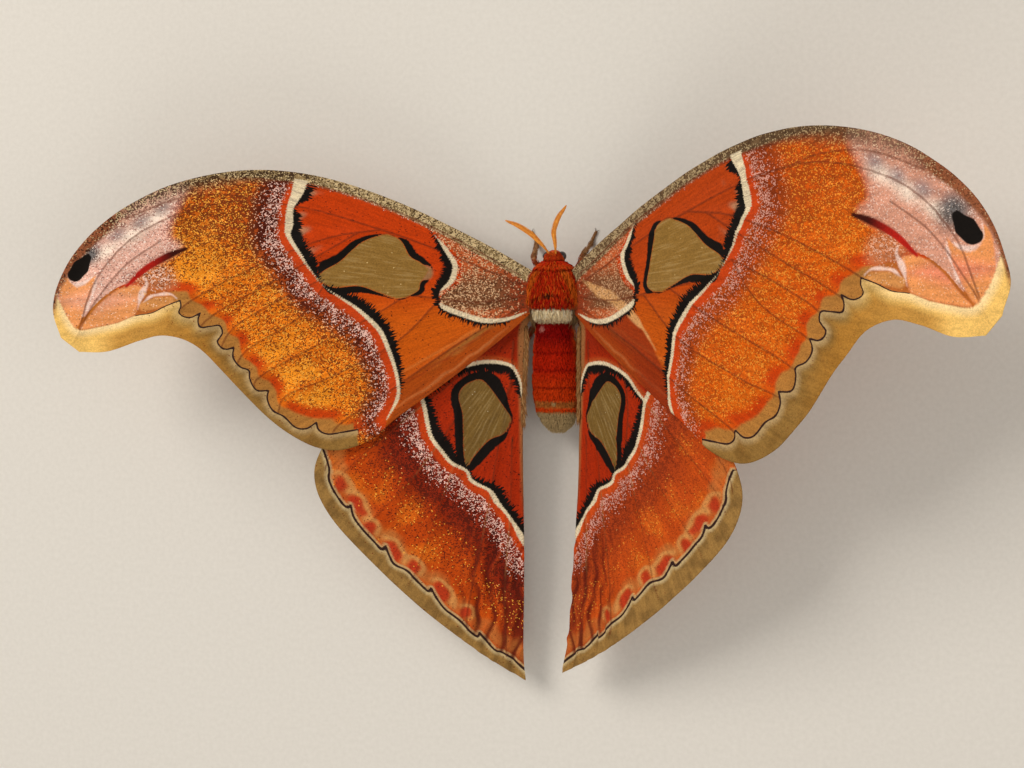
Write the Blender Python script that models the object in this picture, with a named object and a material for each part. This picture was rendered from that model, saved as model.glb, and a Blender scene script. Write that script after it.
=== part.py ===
"""A female Attacus lemairei moth at life size, standing on its six feet with its wings spread in
a shallow, uneven V. One object for each part that has a name, in metres, +X to the moth's right
wing, +Y to its head and +Z up, with the origin below the middle of its box."""

import math
import random

import bmesh
import bpy
from mathutils import Matrix, Vector, geometry

for old in list(bpy.data.objects):
    bpy.data.objects.remove(old, do_unlink=True)

MM = 0.001
GAP = 0.3 * MM  # between two parts that touch
SIDES = {"left": -1, "right": 1}

# Body stations in millimetres: how far forward of the thorax's middle, half width, underside, top.
HEAD_STATIONS = (
    (6.7, 2.0, 7.7, 12.4),
    (7.6, 2.35, 7.3, 12.7),
    (8.7, 2.1, 7.4, 12.4),
    (9.6, 1.3, 8.2, 11.6),
)
THORAX_STATIONS = (
    (6.4, 3.4, 7.2, 12.8),
    (5.2, 4.6, 6.4, 13.8),
    (3.2, 5.1, 5.7, 14.5),
    (0.0, 5.3, 5.2, 14.9),
    (-3.2, 5.2, 5.0, 14.6),
    (-5.4, 4.8, 5.0, 13.9),
    (-6.6, 4.3, 5.2, 13.2),
)
ABDOMEN_STATIONS = (
    (-6.9, 4.1, 5.3, 13.1),
    (-11.0, 4.8, 4.2, 13.4),
    (-17.0, 5.3, 3.2, 13.1),
    (-23.0, 5.5, 2.7, 12.2),
    (-28.0, 4.9, 2.8, 10.6),
    (-31.2, 3.4, 3.4, 9.0),
    (-33.6, 1.2, 4.6, 7.2),
)
BODY_SIDES = 24
STATION_STEPS = 3
ABDOMEN_STEPS = 5
ABDOMEN_RINGS = 7
RING_GROOVE = 0.05  # the depth of a groove between two rings, of the half width

# Wings: outlines in millimetres, outward from the hinge and forward of the thorax's middle.
# Each stroke is smooth, and two strokes meet at a corner.
HINGE_OUT = 5.9 * MM
HINGE_UP = 12.2 * MM
HINDWING_DROP = 1.5 * MM  # the hindwing lies this far under the forewing
MEMBRANE = 0.5 * MM
WING_DIHEDRAL = {"left": math.radians(12), "right": math.radians(27)}
# How each wing is swung forward, and how far it reaches outward and forward in that pose.
WING_POSE = {
    ("forewing", "left"): (math.radians(-1.9), 1.035, 0.96),
    ("forewing", "right"): (math.radians(1.7), 0.985, 1.03),
    ("hindwing", "left"): (math.radians(2.4), 1.04, 1.03),
    ("hindwing", "right"): (math.radians(-1.5), 0.97, 1.0),
}
TAIL_LIFT = {"left": 1.0 * MM, "right": 6.0 * MM}  # of a hindwing, TAIL_LENGTH behind its bend
TAIL_BEND = 38 * MM
TAIL_LENGTH = 50 * MM
SPAN = 110 * MM
SPAN_DROOP = 3.0 * MM  # at the wing tip
CHORD_LENGTH = 40 * MM
CHORD_DROOP = 1.2 * MM  # this far before or behind the hinge
FOREWING_OUTLINE = (
    (
        (-1.3, 4.6), (11, 12.7), (30, 23.2), (48, 30), (65, 31.9), (82, 28.8), (96, 21.4), (105.5, 11.6),
        (110, 0), (108.3, -8), (104.3, -11.7), (97.5, -11.8), (90, -9.4), (84, -8.3), (77.4, -10.6),
        (71.2, -17), (61.5, -28.5), (53, -35.5), (45, -38), (37, -35.5), (31, -30.5), (18, -21),
        (6, -11.5), (-1.3, -5.0),
    ),
)
HINDWING_OUTLINE = (
    (
        (-1.3, -3.0), (12, -4.5), (26, -12), (38, -25), (45.5, -38), (47.2, -45.5), (43.8, -53.5),
        (35.5, -62.5), (22.2, -74.2), (8.2, -84.2), (-3, -90.5),
    ),
    ((-3, -90.5), (-2.2, -83), (-1.6, -62), (-0.3, -36), (0.4, -14), (0.0, -8.6), (-1.3, -6.1)),
)
WING_ROOTS = {"forewing": (4.6, -5.0), "hindwing": (-3.0, -6.1)}  # the two ends of each root
ROOT_DEPTH = 1.3 * MM  # how far the root reaches in from the hinge
FOREWING_VEINS = (
    ((1.5, 3.6), (20, 15.5), (40, 25), (58, 29.2), (65, 29.8)),  # subcosta
    ((1.5, 1.4), (20, 10.5), (33, 16), (52, 22.5), (70, 24), (88, 18), (99, 7), (104, -6)),  # radius
    ((58, 23.4), (68, 26), (80, 25.5), (92, 21)),  # its fork
    ((33, 16), (45, 14.5), (60, 9), (77.8, -0.1), (83.4, -6.4)),  # its last branch
    ((38, 15.6), (54, 6.5), (72.4, -3.6), (76.6, -8.4)),  # three medial veins
    ((44.9, 5.2), (56, 0), (67.3, -6.6), (71.8, -13.2)),
    ((44.9, 5.2), (52, -4.5), (64.7, -12.4), (68.0, -17.6)),
    ((1.5, -1.6), (12, -2.6), (23.8, -0.8), (36, 1.2), (44.9, 5.2)),  # cubitus, and its two branches
    ((28, -0.6), (38, -6.5), (60.7, -18.3), (63.8, -22.6)),
    ((20, -1.4), (30, -11.5), (45, -19.5), (56.1, -24.1), (58.2, -28.4)),
    ((1.5, -4.0), (16, -12.5), (32, -23.5), (44.3, -31.7), (46, -36)),  # anal vein
)
HINDWING_VEINS = (
    ((1.5, -5.0), (14, -10), (30, -24), (42, -37.5), (45, -43.8)),  # radius
    ((1.6, -7.3), (6, -11), (12, -16), (15, -26), (14.1, -36.9)),  # stem of the cell
    ((13, -19), (28, -32), (40, -43.5), (43, -48.4)),  # three medial veins
    ((15, -30), (25, -45), (34.6, -55.6), (36.6, -58.6)),
    ((14.1, -36.9), (18, -50), (22.8, -65.2), (24.8, -69.4)),
    ((2.8, -12), (4.1, -25.3), (14.1, -36.9)),  # cubitus, and its branch
    ((4.1, -25.3), (7, -50), (10.8, -73.7), (10.8, -79.6)),
    ((2.2, -34), (2.0, -50), (2.6, -70), (1.6, -85)),  # anal vein
)
WINGS = (("forewing", FOREWING_OUTLINE, FOREWING_VEINS), ("hindwing", HINDWING_OUTLINE, HINDWING_VEINS))
VEIN_WIDTH = 1.6 * MM
VEIN_RISE = 0.4 * MM  # at the root, over the upper face, and half of it below the lower one
VEIN_FADE = 0.5  # how much of the rise is lost at the wing tip
OUTLINE_STEPS = 2
VEIN_STEPS = 3
FILL_STEP = 9 * MM  # between the plain points that fill a membrane
FILL_LINES = range(-11, 5)  # rows of them, from behind the wings to before them
FILL_CLEARANCE = 2.5 * MM
SLOT_OPEN = 4 * MM  # how far a root's slot reaches past the hinge, and widens

# Eyes, antennae and legs: paths in millimetres from the thorax's middle, on the right side.
EYE_RADIUS = 1.15 * MM
EYE_PLACE = (1.75, 8.0, 9.7)
EYE_SIDES = 16
ANTENNA_RADII = (0.34, 0.32, 0.28, 0.22, 0.12)
COMB_TEETH = 18  # on each side of an antenna
COMB_START, COMB_END = 0.12, 0.97  # along it
COMB_LENGTH = 2.1 * MM  # of the longest teeth, near the middle
COMB_ANGLE = math.radians(28)  # from the shaft, as the teeth lie half closed
TOOTH_ROOT, TOOTH_TIP = 0.24 * MM, 0.07 * MM
TOOTH_STAGGER = 0.06 * MM  # between the roots of a pair
ANTENNA_PATHS = {
    "left": ((0.8, 8.7, 11.7), (2.0, 10.3, 12.8), (4.6, 12.9, 13.3), (7.8, 15.0, 13.3), (11.2, 16.4, 12.8)),
    "right": ((0.8, 8.7, 11.7), (0.9, 10.5, 12.8), (0.8, 13.4, 13.4), (1.7, 16.6, 13.4), (3.6, 19.8, 12.8)),
}
# The thorax's coat, from the collar to the pale fringe that hangs over the abdomen's root: each
# row's place, its number of locks, how far round it goes in degrees, and its locks' length and width.
LOCK_ROWS = (
    (5.6, 9, 78, 2.8, 2.2),
    (3.4, 9, 60, 3.6, 1.9),
    (0.9, 9, 58, 3.8, 1.9),
    (-1.7, 9, 58, 3.6, 1.9),
    (-4.4, 11, 62, 3.9, 1.5),
)
LOCK_WANDER = 2.5  # degrees round the back, out of its even place
LOCK_SINK = 0.8 * MM
LOCK_LIFT = 0.9 * MM
LOCK_FLATNESS = 0.35
LOCK_TAPER = (0.7, 1.0, 0.7, 0.1)
TUBE_SIDES = 8
TUBE_STEPS = 3
LEG_RADII = (0.75, 0.85, 0.6, 0.65, 0.5, 0.42, 0.36)
LEG_PATHS = {
    "foreleg": (
        (2.6, 3.6, 7.4), (4.6, 5.0, 5.4), (5.8, 7.4, 6.6), (6.2, 9.2, 4.2), (6.6, 10.6, 1.2),
        (7.0, 12.0, 0.28), (8.0, 14.2, 0.24),
    ),
    "midleg": (
        (3.4, -0.6, 6.6), (6.4, -1.2, 5.0), (9.6, -1.8, 6.4), (12.0, -2.6, 4.2), (14.2, -3.4, 1.2),
        (16.0, -4.2, 0.28), (18.6, -5.2, 0.24),
    ),
    "hindleg": (
        (3.0, -4.6, 6.4), (5.8, -8.2, 4.6), (8.6, -13.6, 6.0), (10.2, -18.4, 4.0), (11.6, -22.6, 1.2),
        (12.6, -25.2, 0.28), (14.0, -28.6, 0.24),
    ),
}


def finish(name, colour, roughness):
    look = bpy.data.materials.new(name)
    look.use_nodes = True
    shader = look.node_tree.nodes["Principled BSDF"]
    shader.inputs["Base Color"].default_value = (*colour, 1)
    shader.inputs["Roughness"].default_value = roughness
    return look


HEAD_RED = finish("head_red", (0.26, 0.03, 0.02), 0.9)
THORAX_ORANGE = finish("thorax_orange", (0.62, 0.15, 0.06), 0.9)
ABDOMEN_RED = finish("abdomen_red", (0.40, 0.07, 0.04), 0.9)
WING_SCALES = finish("wing_scales", (0.55, 0.17, 0.08), 0.7)
ANTENNA_ORANGE = finish("antenna_orange", (0.65, 0.30, 0.05), 0.6)
LEG_TAN = finish("leg_tan", (0.45, 0.28, 0.14), 0.8)
EYE_BROWN = finish("eye_brown", (0.04, 0.02, 0.015), 0.25)


def make(name, shape, look):
    """The object of a finished shape, smooth except at its sharp edges."""
    bmesh.ops.recalc_face_normals(shape, faces=shape.faces)
    mesh = bpy.data.meshes.new(name)
    shape.to_mesh(mesh)
    shape.free()
    mesh.materials.append(look)
    mesh.shade_smooth()
    mesh.set_sharp_from_angle(angle=math.radians(40))
    thing = bpy.data.objects.new(name, mesh)
    bpy.context.scene.collection.objects.link(thing)
    return thing


def cut(thing, name, shape):
    """Takes a closed shape out of the object."""
    cutter = make(name, shape, LEG_TAN)
    cutter.hide_render = True
    cutter.display_type = "WIRE"
    step = thing.modifiers.new(name, "BOOLEAN")
    step.operation = "DIFFERENCE"
    step.object = cutter


def spline(points, steps):
    """A smooth curve through the points, with this many steps between each two."""
    points = [Vector(point) for point in points]
    row = [2 * points[0] - points[1], *points, 2 * points[-1] - points[-2]]
    curve = []
    for before, start, end, after in zip(row, row[1:], row[2:], row[3:]):
        for step in range(steps):
            t = step / steps
            bend = 2 * before - 5 * start + 4 * end - after
            swing = 3 * start - before - 3 * end + after
            curve.append(start + 0.5 * ((end - before) * t + bend * t**2 + swing * t**3))
    return curve + [points[-1]]


def ring(shape, sides, place):
    made = bmesh.ops.create_circle(shape, segments=sides, radius=1, matrix=place)
    return list({edge for corner in made["verts"] for edge in corner.link_edges})


def skin(shape, rings):
    """Skins a row of rings and closes both ends."""
    for one, two in zip(rings, rings[1:]):
        bmesh.ops.bridge_loops(shape, edges=one + two)
    for end in (rings[0], rings[-1]):
        bmesh.ops.contextual_create(shape, geom=end)


def body_part(name, stations, steps, look, grooves=0):
    """A length of the body over smooth stations, with flat ends and grooves between its rings."""
    shape = bmesh.new()
    rows = spline(stations, steps)
    rings = []
    for count, row in enumerate(rows):
        forward, half_width, under, top = row * MM
        wave = math.cos(math.pi * grooves * count / (len(rows) - 1)) ** 8
        pinch = 1 - RING_GROOVE * wave if grooves else 1
        size = Matrix.Diagonal((half_width * pinch, (top - under) / 2 * pinch, 1, 1))
        place = Matrix.Translation((0, forward, (top + under) / 2))
        rings.append(ring(shape, BODY_SIDES, place @ Matrix.Rotation(math.pi / 2, 4, "X") @ size))
    skin(shape, rings)
    return make(name, shape, look)


def tube(path, radii, sides=TUBE_SIDES, face=Vector((0, 0, 1)), flatness=1.0):
    """A tapering tube along a path, flattened where it faces, that stops at the floor."""
    shape = bmesh.new()
    rings = []
    for count, centre in enumerate(path):
        along = (path[min(count + 1, len(path) - 1)] - path[max(count - 1, 0)]).normalized()
        across = along.cross(face).normalized()
        turn = Matrix((across, along.cross(across), along)).transposed().to_4x4()
        size = Matrix.Diagonal((radii[count], radii[count] * flatness, 1, 1))
        rings.append(ring(shape, sides, Matrix.Translation(centre) @ turn @ size))
    skin(shape, rings)
    for corner in shape.verts:
        corner.co.z = max(corner.co.z, 0)
    return shape


def limb(name, side, path, radii, look, root_of):
    """A leg or an antenna's shaft, with a socket cut for its root in the part that carries it."""
    centres = [Vector((SIDES[side] * x, y, z)) * MM for x, y, z in spline(path, TUBE_STEPS)]
    sizes = [size.x * MM for size in spline([(radius, 0) for radius in radii], TUBE_STEPS)]
    start = centres[0] + (centres[0] - centres[1]).normalized() * GAP
    socket = tube([start, *centres[1:TUBE_STEPS + 1]], [size + GAP for size in sizes[:TUBE_STEPS + 1]])
    cut(root_of, name + "_socket", socket)
    return make(name, tube(centres, sizes), look), centres


def fuse(thing, pieces):
    """Joins closed pieces to the object by one union, and keeps its largest closed surface."""
    group = bpy.data.collections.new(thing.name + "_pieces")
    bpy.context.scene.collection.children.link(group)
    for piece in pieces:
        bpy.context.scene.collection.objects.unlink(piece)
        group.objects.link(piece)
    step = thing.modifiers.new("pieces", "BOOLEAN")
    step.operation = "UNION"
    step.operand_type = "COLLECTION"
    step.collection = group
    step.solver = "MANIFOLD"
    bpy.context.view_layer.update()
    joined = bpy.data.meshes.new_from_object(thing.evaluated_get(bpy.context.evaluated_depsgraph_get()))
    thing.modifiers.remove(step)
    for piece in pieces:
        bpy.data.objects.remove(piece, do_unlink=True)
    bpy.data.collections.remove(group)
    shape = bmesh.new()
    shape.from_mesh(joined)
    loose = set(shape.verts)
    surfaces = []
    while loose:
        surface = {loose.pop()}
        rim = set(surface)
        while rim:
            rim = {edge.other_vert(corner) for corner in rim for edge in corner.link_edges} - surface
            surface |= rim
        loose -= surface
        surfaces.append(surface)
    surfaces.sort(key=len)
    bmesh.ops.delete(shape, geom=[corner for surface in surfaces[:-1] for corner in surface])
    shape.to_mesh(thing.data)
    shape.free()
    bpy.data.meshes.remove(joined)


def comb(shaft, path):
    """Two rows of teeth along an antenna, longest near its middle."""
    teeth = []
    last = len(path) - 1
    for count in range(COMB_TEETH):
        t = COMB_START + (COMB_END - COMB_START) * count / (COMB_TEETH - 1)
        place = int(t * last)
        root = path[place].lerp(path[min(place + 1, last)], t * last - place)
        along = (path[min(place + 1, last)] - path[place - 1]).normalized()
        across = along.cross(Vector((0, 0, 1))).normalized()
        length = COMB_LENGTH * math.sin(math.pi * t ** 0.75) ** 0.6 + TOOTH_ROOT
        for sign in (-1, 1):
            reach = along * math.cos(COMB_ANGLE) + across * sign * math.sin(COMB_ANGLE)
            start = root + (along - across) * sign * TOOTH_STAGGER
            tooth = tube([start, start + reach * length], [TOOTH_ROOT, TOOTH_TIP], sides=4)
            teeth.append(make("tooth", tooth, ANTENNA_ORANGE))
    fuse(shaft, teeth)


def body_at(forward):
    """Half width, middle level and half height of the body at a place along it."""
    rows = THORAX_STATIONS + ABDOMEN_STATIONS
    place = min(max(forward / MM, rows[-1][0]), rows[0][0])
    for one, two in zip(rows, rows[1:]):
        if place >= two[0]:
            t = (one[0] - place) / (one[0] - two[0])
            half_width, under, top = (a + (b - a) * t for a, b in zip(one[1:], two[1:]))
            return half_width * MM, (under + top) / 2 * MM, (top - under) / 2 * MM


def coat_point(angle, forward, lift):
    """A place over the back, this far round from its ridge and this high over its skin."""
    half_width, middle, half_height = body_at(forward)
    return Vector((
        (half_width + lift) * math.sin(angle), forward, middle + (half_height + lift) * math.cos(angle),
    ))


def coat(thing):
    """Rows of flat locks that lie back over the thorax, each row over the root of the next."""
    draw = random.Random(7)
    locks = []
    for forward, count, spread, length, width in LOCK_ROWS:
        for step in range(count):
            angle = math.radians(spread * (2 * step / (count - 1) - 1) + draw.uniform(-1, 1) * LOCK_WANDER)
            root = (forward + draw.uniform(-0.3, 0.3)) * MM
            reach = length * MM * draw.uniform(0.85, 1.1)
            path = [
                coat_point(angle, root + LOCK_SINK, -LOCK_SINK),
                coat_point(angle, root - 0.35 * reach, 0.5 * LOCK_LIFT),
                coat_point(angle * draw.uniform(0.94, 1.04), root - 0.75 * reach, LOCK_LIFT),
                coat_point(angle * draw.uniform(0.9, 1.04), root - reach, LOCK_LIFT),
            ]
            face = Vector((math.sin(angle), 0, math.cos(angle)))
            radii = [width * MM / 2 * taper for taper in LOCK_TAPER]
            locks.append(make("lock", tube(path, radii, 4, face, LOCK_FLATNESS), THORAX_ORANGE))
    fuse(thing, locks)


def wing_point(kind, side, out, forward, up):
    """The place of a point of a wing's plane, swung, bent, raised and set on its hinge."""
    sweep, reach_out, reach_forward = WING_POSE[kind, side]
    rise = WING_DIHEDRAL[side]
    out, forward = out * reach_out, forward * reach_forward
    turned_out = out * math.cos(sweep) - forward * math.sin(sweep)
    forward = out * math.sin(sweep) + forward * math.cos(sweep)
    up -= SPAN_DROOP * (turned_out / SPAN) ** 2 + CHORD_DROOP * (forward / CHORD_LENGTH) ** 2
    if kind == "hindwing":
        up += TAIL_LIFT[side] * (max(0, -forward - TAIL_BEND) / TAIL_LENGTH) ** 2 - HINDWING_DROP
    return Vector((
        SIDES[side] * (HINGE_OUT + turned_out * math.cos(rise) - up * math.sin(rise)),
        forward,
        HINGE_UP + turned_out * math.sin(rise) + up * math.cos(rise),
    ))


def distance_to(point, row):
    """How far a point of the plane is from a row of points."""
    nearest = math.inf
    for start, end in zip(row, row[1:]):
        _, t = geometry.intersect_point_line(point, start, end)
        foot = start.lerp(end, min(max(t, 0), 1))
        nearest = min(nearest, (point - foot).length)
    return nearest


def flanks(row):
    """The two lines along a vein's foot."""
    sides = ([], [])
    for count in range(1, len(row)):
        along = (row[min(count + 1, len(row) - 1)] - row[count - 1]).normalized()
        across = Vector((-along.y, along.x)) * (VEIN_WIDTH / 2)
        sides[0].append(row[count] + across)
        sides[1].append(row[count] - across)
    return sides


def wing(kind, side, outline, veins):
    """A membrane of even thickness, split alike on both faces, with its veins raised in them."""
    rim = []
    for stroke in outline:
        curve = spline(stroke, OUTLINE_STEPS)
        rim += curve[:-1] if stroke is not outline[-1] else curve
    rim = [point * MM for point in rim]
    rows = [[point * MM for point in spline(vein, VEIN_STEPS)] for vein in veins]
    points = list(rim)
    links = []
    for row in rows:
        for line in (row, *flanks(row)):
            links += [(len(points) + k, len(points) + k + 1) for k in range(len(line) - 1)]
            points += line
    for column in range(math.ceil(SPAN / FILL_STEP)):
        for line in FILL_LINES:
            spot = Vector((column * FILL_STEP, line * FILL_STEP))
            crossed = 0
            for a, b in zip(rim, rim[1:] + rim[:1]):
                if (a.y > spot.y) != (b.y > spot.y):
                    crossed += spot.x < (b.x - a.x) * (spot.y - a.y) / (b.y - a.y) + a.x
            if crossed % 2 and min(distance_to(spot, row) for row in [rim, *rows]) > FILL_CLEARANCE:
                points.append(spot)
    plane = [Vector((point.x, point.y)) / MM for point in points]
    flat, _, faces, *_ = geometry.delaunay_2d_cdt(plane, links, [list(range(len(rim)))], 1, 0.02)
    shape = bmesh.new()
    upper, lower = [], []
    for point in flat:
        point = point * MM
        closeness = max(0, 1 - min(distance_to(point, row) for row in rows) / (VEIN_WIDTH / 2))
        rise = VEIN_RISE * closeness * (1 - VEIN_FADE * point.x / SPAN)
        upper.append(shape.verts.new(wing_point(kind, side, point.x, point.y, MEMBRANE / 2 + rise)))
        lower.append(shape.verts.new(wing_point(kind, side, point.x, point.y, -MEMBRANE / 2 - rise / 2)))
    for face in faces:
        shape.faces.new([upper[k] for k in face])
        shape.faces.new([lower[k] for k in reversed(face)])
    partner = dict(zip(upper, lower))
    for edge in [edge for edge in shape.edges if edge.is_boundary and edge.verts[0] in partner]:
        one, two = edge.verts
        shape.faces.new((one, two, partner[two], partner[one]))
    return make(f"{kind}_{side}", shape, WING_SCALES)


def slot(kind, side):
    """The space that a wing's root takes in the thorax, with the gap round it."""
    front, rear = WING_ROOTS[kind]
    reach_in = ROOT_DEPTH + GAP
    plan = (
        (-reach_in, front * MM + GAP),
        (SLOT_OPEN, front * MM + SLOT_OPEN),
        (SLOT_OPEN, rear * MM - SLOT_OPEN),
        (-reach_in, rear * MM - GAP),
    )
    shape = bmesh.new()
    heights = (-MEMBRANE / 2 - VEIN_RISE / 2 - GAP, MEMBRANE / 2 + VEIN_RISE + GAP)
    corners = [[shape.verts.new(wing_point(kind, side, *spot, up)) for spot in plan] for up in heights]
    low, high = (shape.faces.new(row) for row in corners)
    bmesh.ops.bridge_loops(shape, edges=list(low.edges) + list(high.edges))
    return shape


head = body_part("head", HEAD_STATIONS, STATION_STEPS, HEAD_RED)
thorax = body_part("thorax", THORAX_STATIONS, STATION_STEPS, THORAX_ORANGE)
coat(thorax)
body_part("abdomen", ABDOMEN_STATIONS, ABDOMEN_STEPS, ABDOMEN_RED, ABDOMEN_RINGS)

for side, sign in SIDES.items():
    x, y, z = EYE_PLACE
    for name, radius in (("eye_" + side, EYE_RADIUS), ("eye_socket_" + side, EYE_RADIUS + GAP)):
        ball = bmesh.new()
        bmesh.ops.create_uvsphere(
            ball, u_segments=EYE_SIDES, v_segments=EYE_SIDES // 2, radius=radius,
            matrix=Matrix.Translation(Vector((sign * x, y, z)) * MM),
        )
        if radius == EYE_RADIUS:
            make(name, ball, EYE_BROWN)
        else:
            cut(head, name, ball)
    antenna = limb("antenna_" + side, side, ANTENNA_PATHS[side], ANTENNA_RADII, ANTENNA_ORANGE, head)
    comb(*antenna)
    for leg, path in LEG_PATHS.items():
        limb(f"{leg}_{side}", side, path, LEG_RADII, LEG_TAN, thorax)
    for kind, outline, veins in WINGS:
        wing(kind, side, outline, veins)
        cut(thorax, f"{kind}_slot_{side}", slot(kind, side))

# The origin goes to the middle of the whole box, at its lowest level.
origin = bpy.data.objects.new("origin", None)
bpy.context.scene.collection.objects.link(origin)
corners = []
for thing in bpy.data.objects:
    if thing.type == "MESH":
        thing.parent = origin
        if not thing.hide_render:
            corners += [corner.co for corner in thing.data.vertices]
lowest = Vector(min(corner[axis] for corner in corners) for axis in range(3))
highest = Vector(max(corner[axis] for corner in corners) for axis in range(3))
origin.location = (-(lowest.x + highest.x) / 2, -(lowest.y + highest.y) / 2, -lowest.z)
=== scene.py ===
"""The visual model of a female Attacus lemairei moth at life size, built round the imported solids."""
import math

import bmesh
import bpy
import numpy as np
from mathutils import Matrix, Vector


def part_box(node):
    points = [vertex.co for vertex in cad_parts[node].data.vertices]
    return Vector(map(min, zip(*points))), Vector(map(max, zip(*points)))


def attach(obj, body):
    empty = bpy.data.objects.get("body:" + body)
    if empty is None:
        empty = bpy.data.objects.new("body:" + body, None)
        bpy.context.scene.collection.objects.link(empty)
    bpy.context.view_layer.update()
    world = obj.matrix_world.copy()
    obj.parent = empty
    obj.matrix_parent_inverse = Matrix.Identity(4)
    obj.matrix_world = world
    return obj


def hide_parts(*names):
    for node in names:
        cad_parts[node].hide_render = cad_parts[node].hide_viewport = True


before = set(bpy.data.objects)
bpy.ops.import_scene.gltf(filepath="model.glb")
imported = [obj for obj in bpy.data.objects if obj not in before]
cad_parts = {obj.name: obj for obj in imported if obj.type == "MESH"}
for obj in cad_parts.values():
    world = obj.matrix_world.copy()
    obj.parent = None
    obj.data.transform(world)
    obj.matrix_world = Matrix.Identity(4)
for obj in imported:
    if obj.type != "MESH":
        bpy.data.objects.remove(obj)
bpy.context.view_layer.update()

# The four wings.
# Each is a thin double membrane stretched over hollow veins, spread from a hinge on the thorax and
# covered on both faces with flat coloured scales. The clear windows have almost none.
MM = 0.001
EYE_PLACE = (1.75, 8.0, 9.7)  # of the right eye, from the middle of the thorax at floor level, in mm
eye_middles = [sum(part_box("eye_" + side), Vector()) / 2 for side in ("left", "right")]
datum = sum(eye_middles, Vector()) / 2 - Vector((0, EYE_PLACE[1], EYE_PLACE[2])) * MM

SIDES = {"left": -1, "right": 1}
HINGE_OUT, HINGE_UP, HINDWING_DROP = 5.9, 12.2, 1.5  # all wing sizes are in mm
DIHEDRAL = {"left": math.radians(12), "right": math.radians(27)}
WING_POSE = {  # swing forward, then reach outward and forward
    ("forewing", "left"): (math.radians(-1.9), 1.035, 0.96),
    ("forewing", "right"): (math.radians(1.7), 0.985, 1.03),
    ("hindwing", "left"): (math.radians(2.4), 1.04, 1.03),
    ("hindwing", "right"): (math.radians(-1.5), 0.97, 1.0),
}
TAIL_LIFT, TAIL_BEND, TAIL_LENGTH = {"left": 1.0, "right": 6.0}, 38, 50
SPAN, SPAN_DROOP, CHORD_LENGTH, CHORD_DROOP = 110, 3.0, 40, 1.2
MEMBRANE = 0.3  # between the two faces, and half of that at the rim
VEIN_HEIGHT = 0.28
PLEAT = 0.5  # how far the membrane sags between veins
TAIL_FOLD = 0.4  # how deep the folds of the hindwing's tail are

# Outlines, from the root outward: the front edge to the wing tip, then the rear edge to the same end.
FOREWING_FRONT = (
    (-1.3, 4.6), (11, 12.7), (30, 23.2), (48, 30), (65, 31.9), (82, 28.8), (96, 21.4), (105.5, 11.6),
    (110, 0), (108.3, -8),
)
FOREWING_REAR = (
    (-1.3, -5.0), (6, -11.5), (18, -21), (31, -30.5), (37, -35.5), (45, -38), (53, -35.5), (61.5, -28.5),
    (71.2, -17), (77.4, -10.6), (84, -8.3), (90, -9.4), (97.5, -11.8), (104.3, -11.7),
)
HINDWING_FRONT = (
    (-1.3, -3.0), (12, -4.5), (26, -12), (38, -25), (45.5, -38), (47.2, -45.5), (43.8, -53.5), (35.5, -62.5),
    (22.2, -74.2), (8.2, -84.2), (-3, -90.5),
)
HINDWING_REAR = ((-1.3, -6.1), (0.0, -8.6), (0.4, -14), (-0.3, -36), (-1.6, -62), (-2.2, -83), (-3, -90.5))
FOREWING_VEINS = (
    ((1.5, 3.6), (20, 15.5), (40, 25), (58, 29.2), (65, 29.8)),
    ((1.5, 1.4), (20, 10.5), (33, 16), (52, 22.5), (70, 24), (88, 18), (99, 7), (104, -6)),
    ((58, 23.4), (68, 26), (80, 25.5), (92, 21)),
    ((84, 15.3), (93, 9), (101, -1), (105.5, -9.5)),
    ((33, 16), (45, 14.5), (60, 9), (77.8, -0.1), (83.4, -6.4)),
    ((38, 15.6), (54, 6.5), (72.4, -3.6), (76.6, -8.4)),
    ((44.9, 5.2), (56, 0), (67.3, -6.6), (71.8, -13.2)),
    ((44.9, 5.2), (52, -4.5), (64.7, -12.4), (68.0, -17.6)),
    ((1.5, -1.6), (12, -2.6), (23.8, -0.8), (36, 1.2), (44.9, 5.2)),
    ((28, -0.6), (38, -6.5), (60.7, -18.3), (63.8, -22.6)),
    ((20, -1.4), (30, -11.5), (45, -19.5), (56.1, -24.1), (58.2, -28.4)),
    ((1.5, -4.0), (16, -12.5), (32, -23.5), (44.3, -31.7), (46, -36)),
)
HINDWING_VEINS = (
    ((1.5, -5.0), (14, -10), (30, -24), (42, -37.5), (45, -43.8)),
    ((1.6, -7.3), (6, -11), (12, -16), (15, -26), (14.1, -36.9)),
    ((13, -19), (28, -32), (40, -43.5), (43, -48.4)),
    ((15, -30), (25, -45), (34.6, -55.6), (36.6, -58.6)),
    ((14.1, -36.9), (18, -50), (22.8, -65.2), (24.8, -69.4)),
    ((2.8, -12), (4.1, -25.3), (14.1, -36.9)),
    ((4.1, -25.3), (7, -50), (10.8, -73.7), (10.8, -79.6)),
    ((2.2, -34), (2.0, -50), (2.6, -70), (1.6, -85)),
)


def smooth_line(points, steps=8):
    """A smooth line through the points."""
    points = [np.array(point, float) for point in points]
    row = [2 * points[0] - points[1], *points, 2 * points[-1] - points[-2]]
    line = []
    for before, start, end, after in zip(row, row[1:], row[2:], row[3:]):
        for step in range(steps):
            t = step / steps
            bend = 2 * before - 5 * start + 4 * end - after
            swing = 3 * start - before - 3 * end + after
            line.append(start + 0.5 * ((end - before) * t + bend * t**2 + swing * t**3))
    return np.array(line + [points[-1]])


def evenly(line, places):
    """Points on a line at these shares of its length."""
    lengths = np.r_[0, np.cumsum(np.hypot(*np.diff(line[:, :2], axis=0).T))]
    shares = lengths / lengths[-1]
    return np.stack([np.interp(places, shares, column) for column in line.T], 1)


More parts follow.
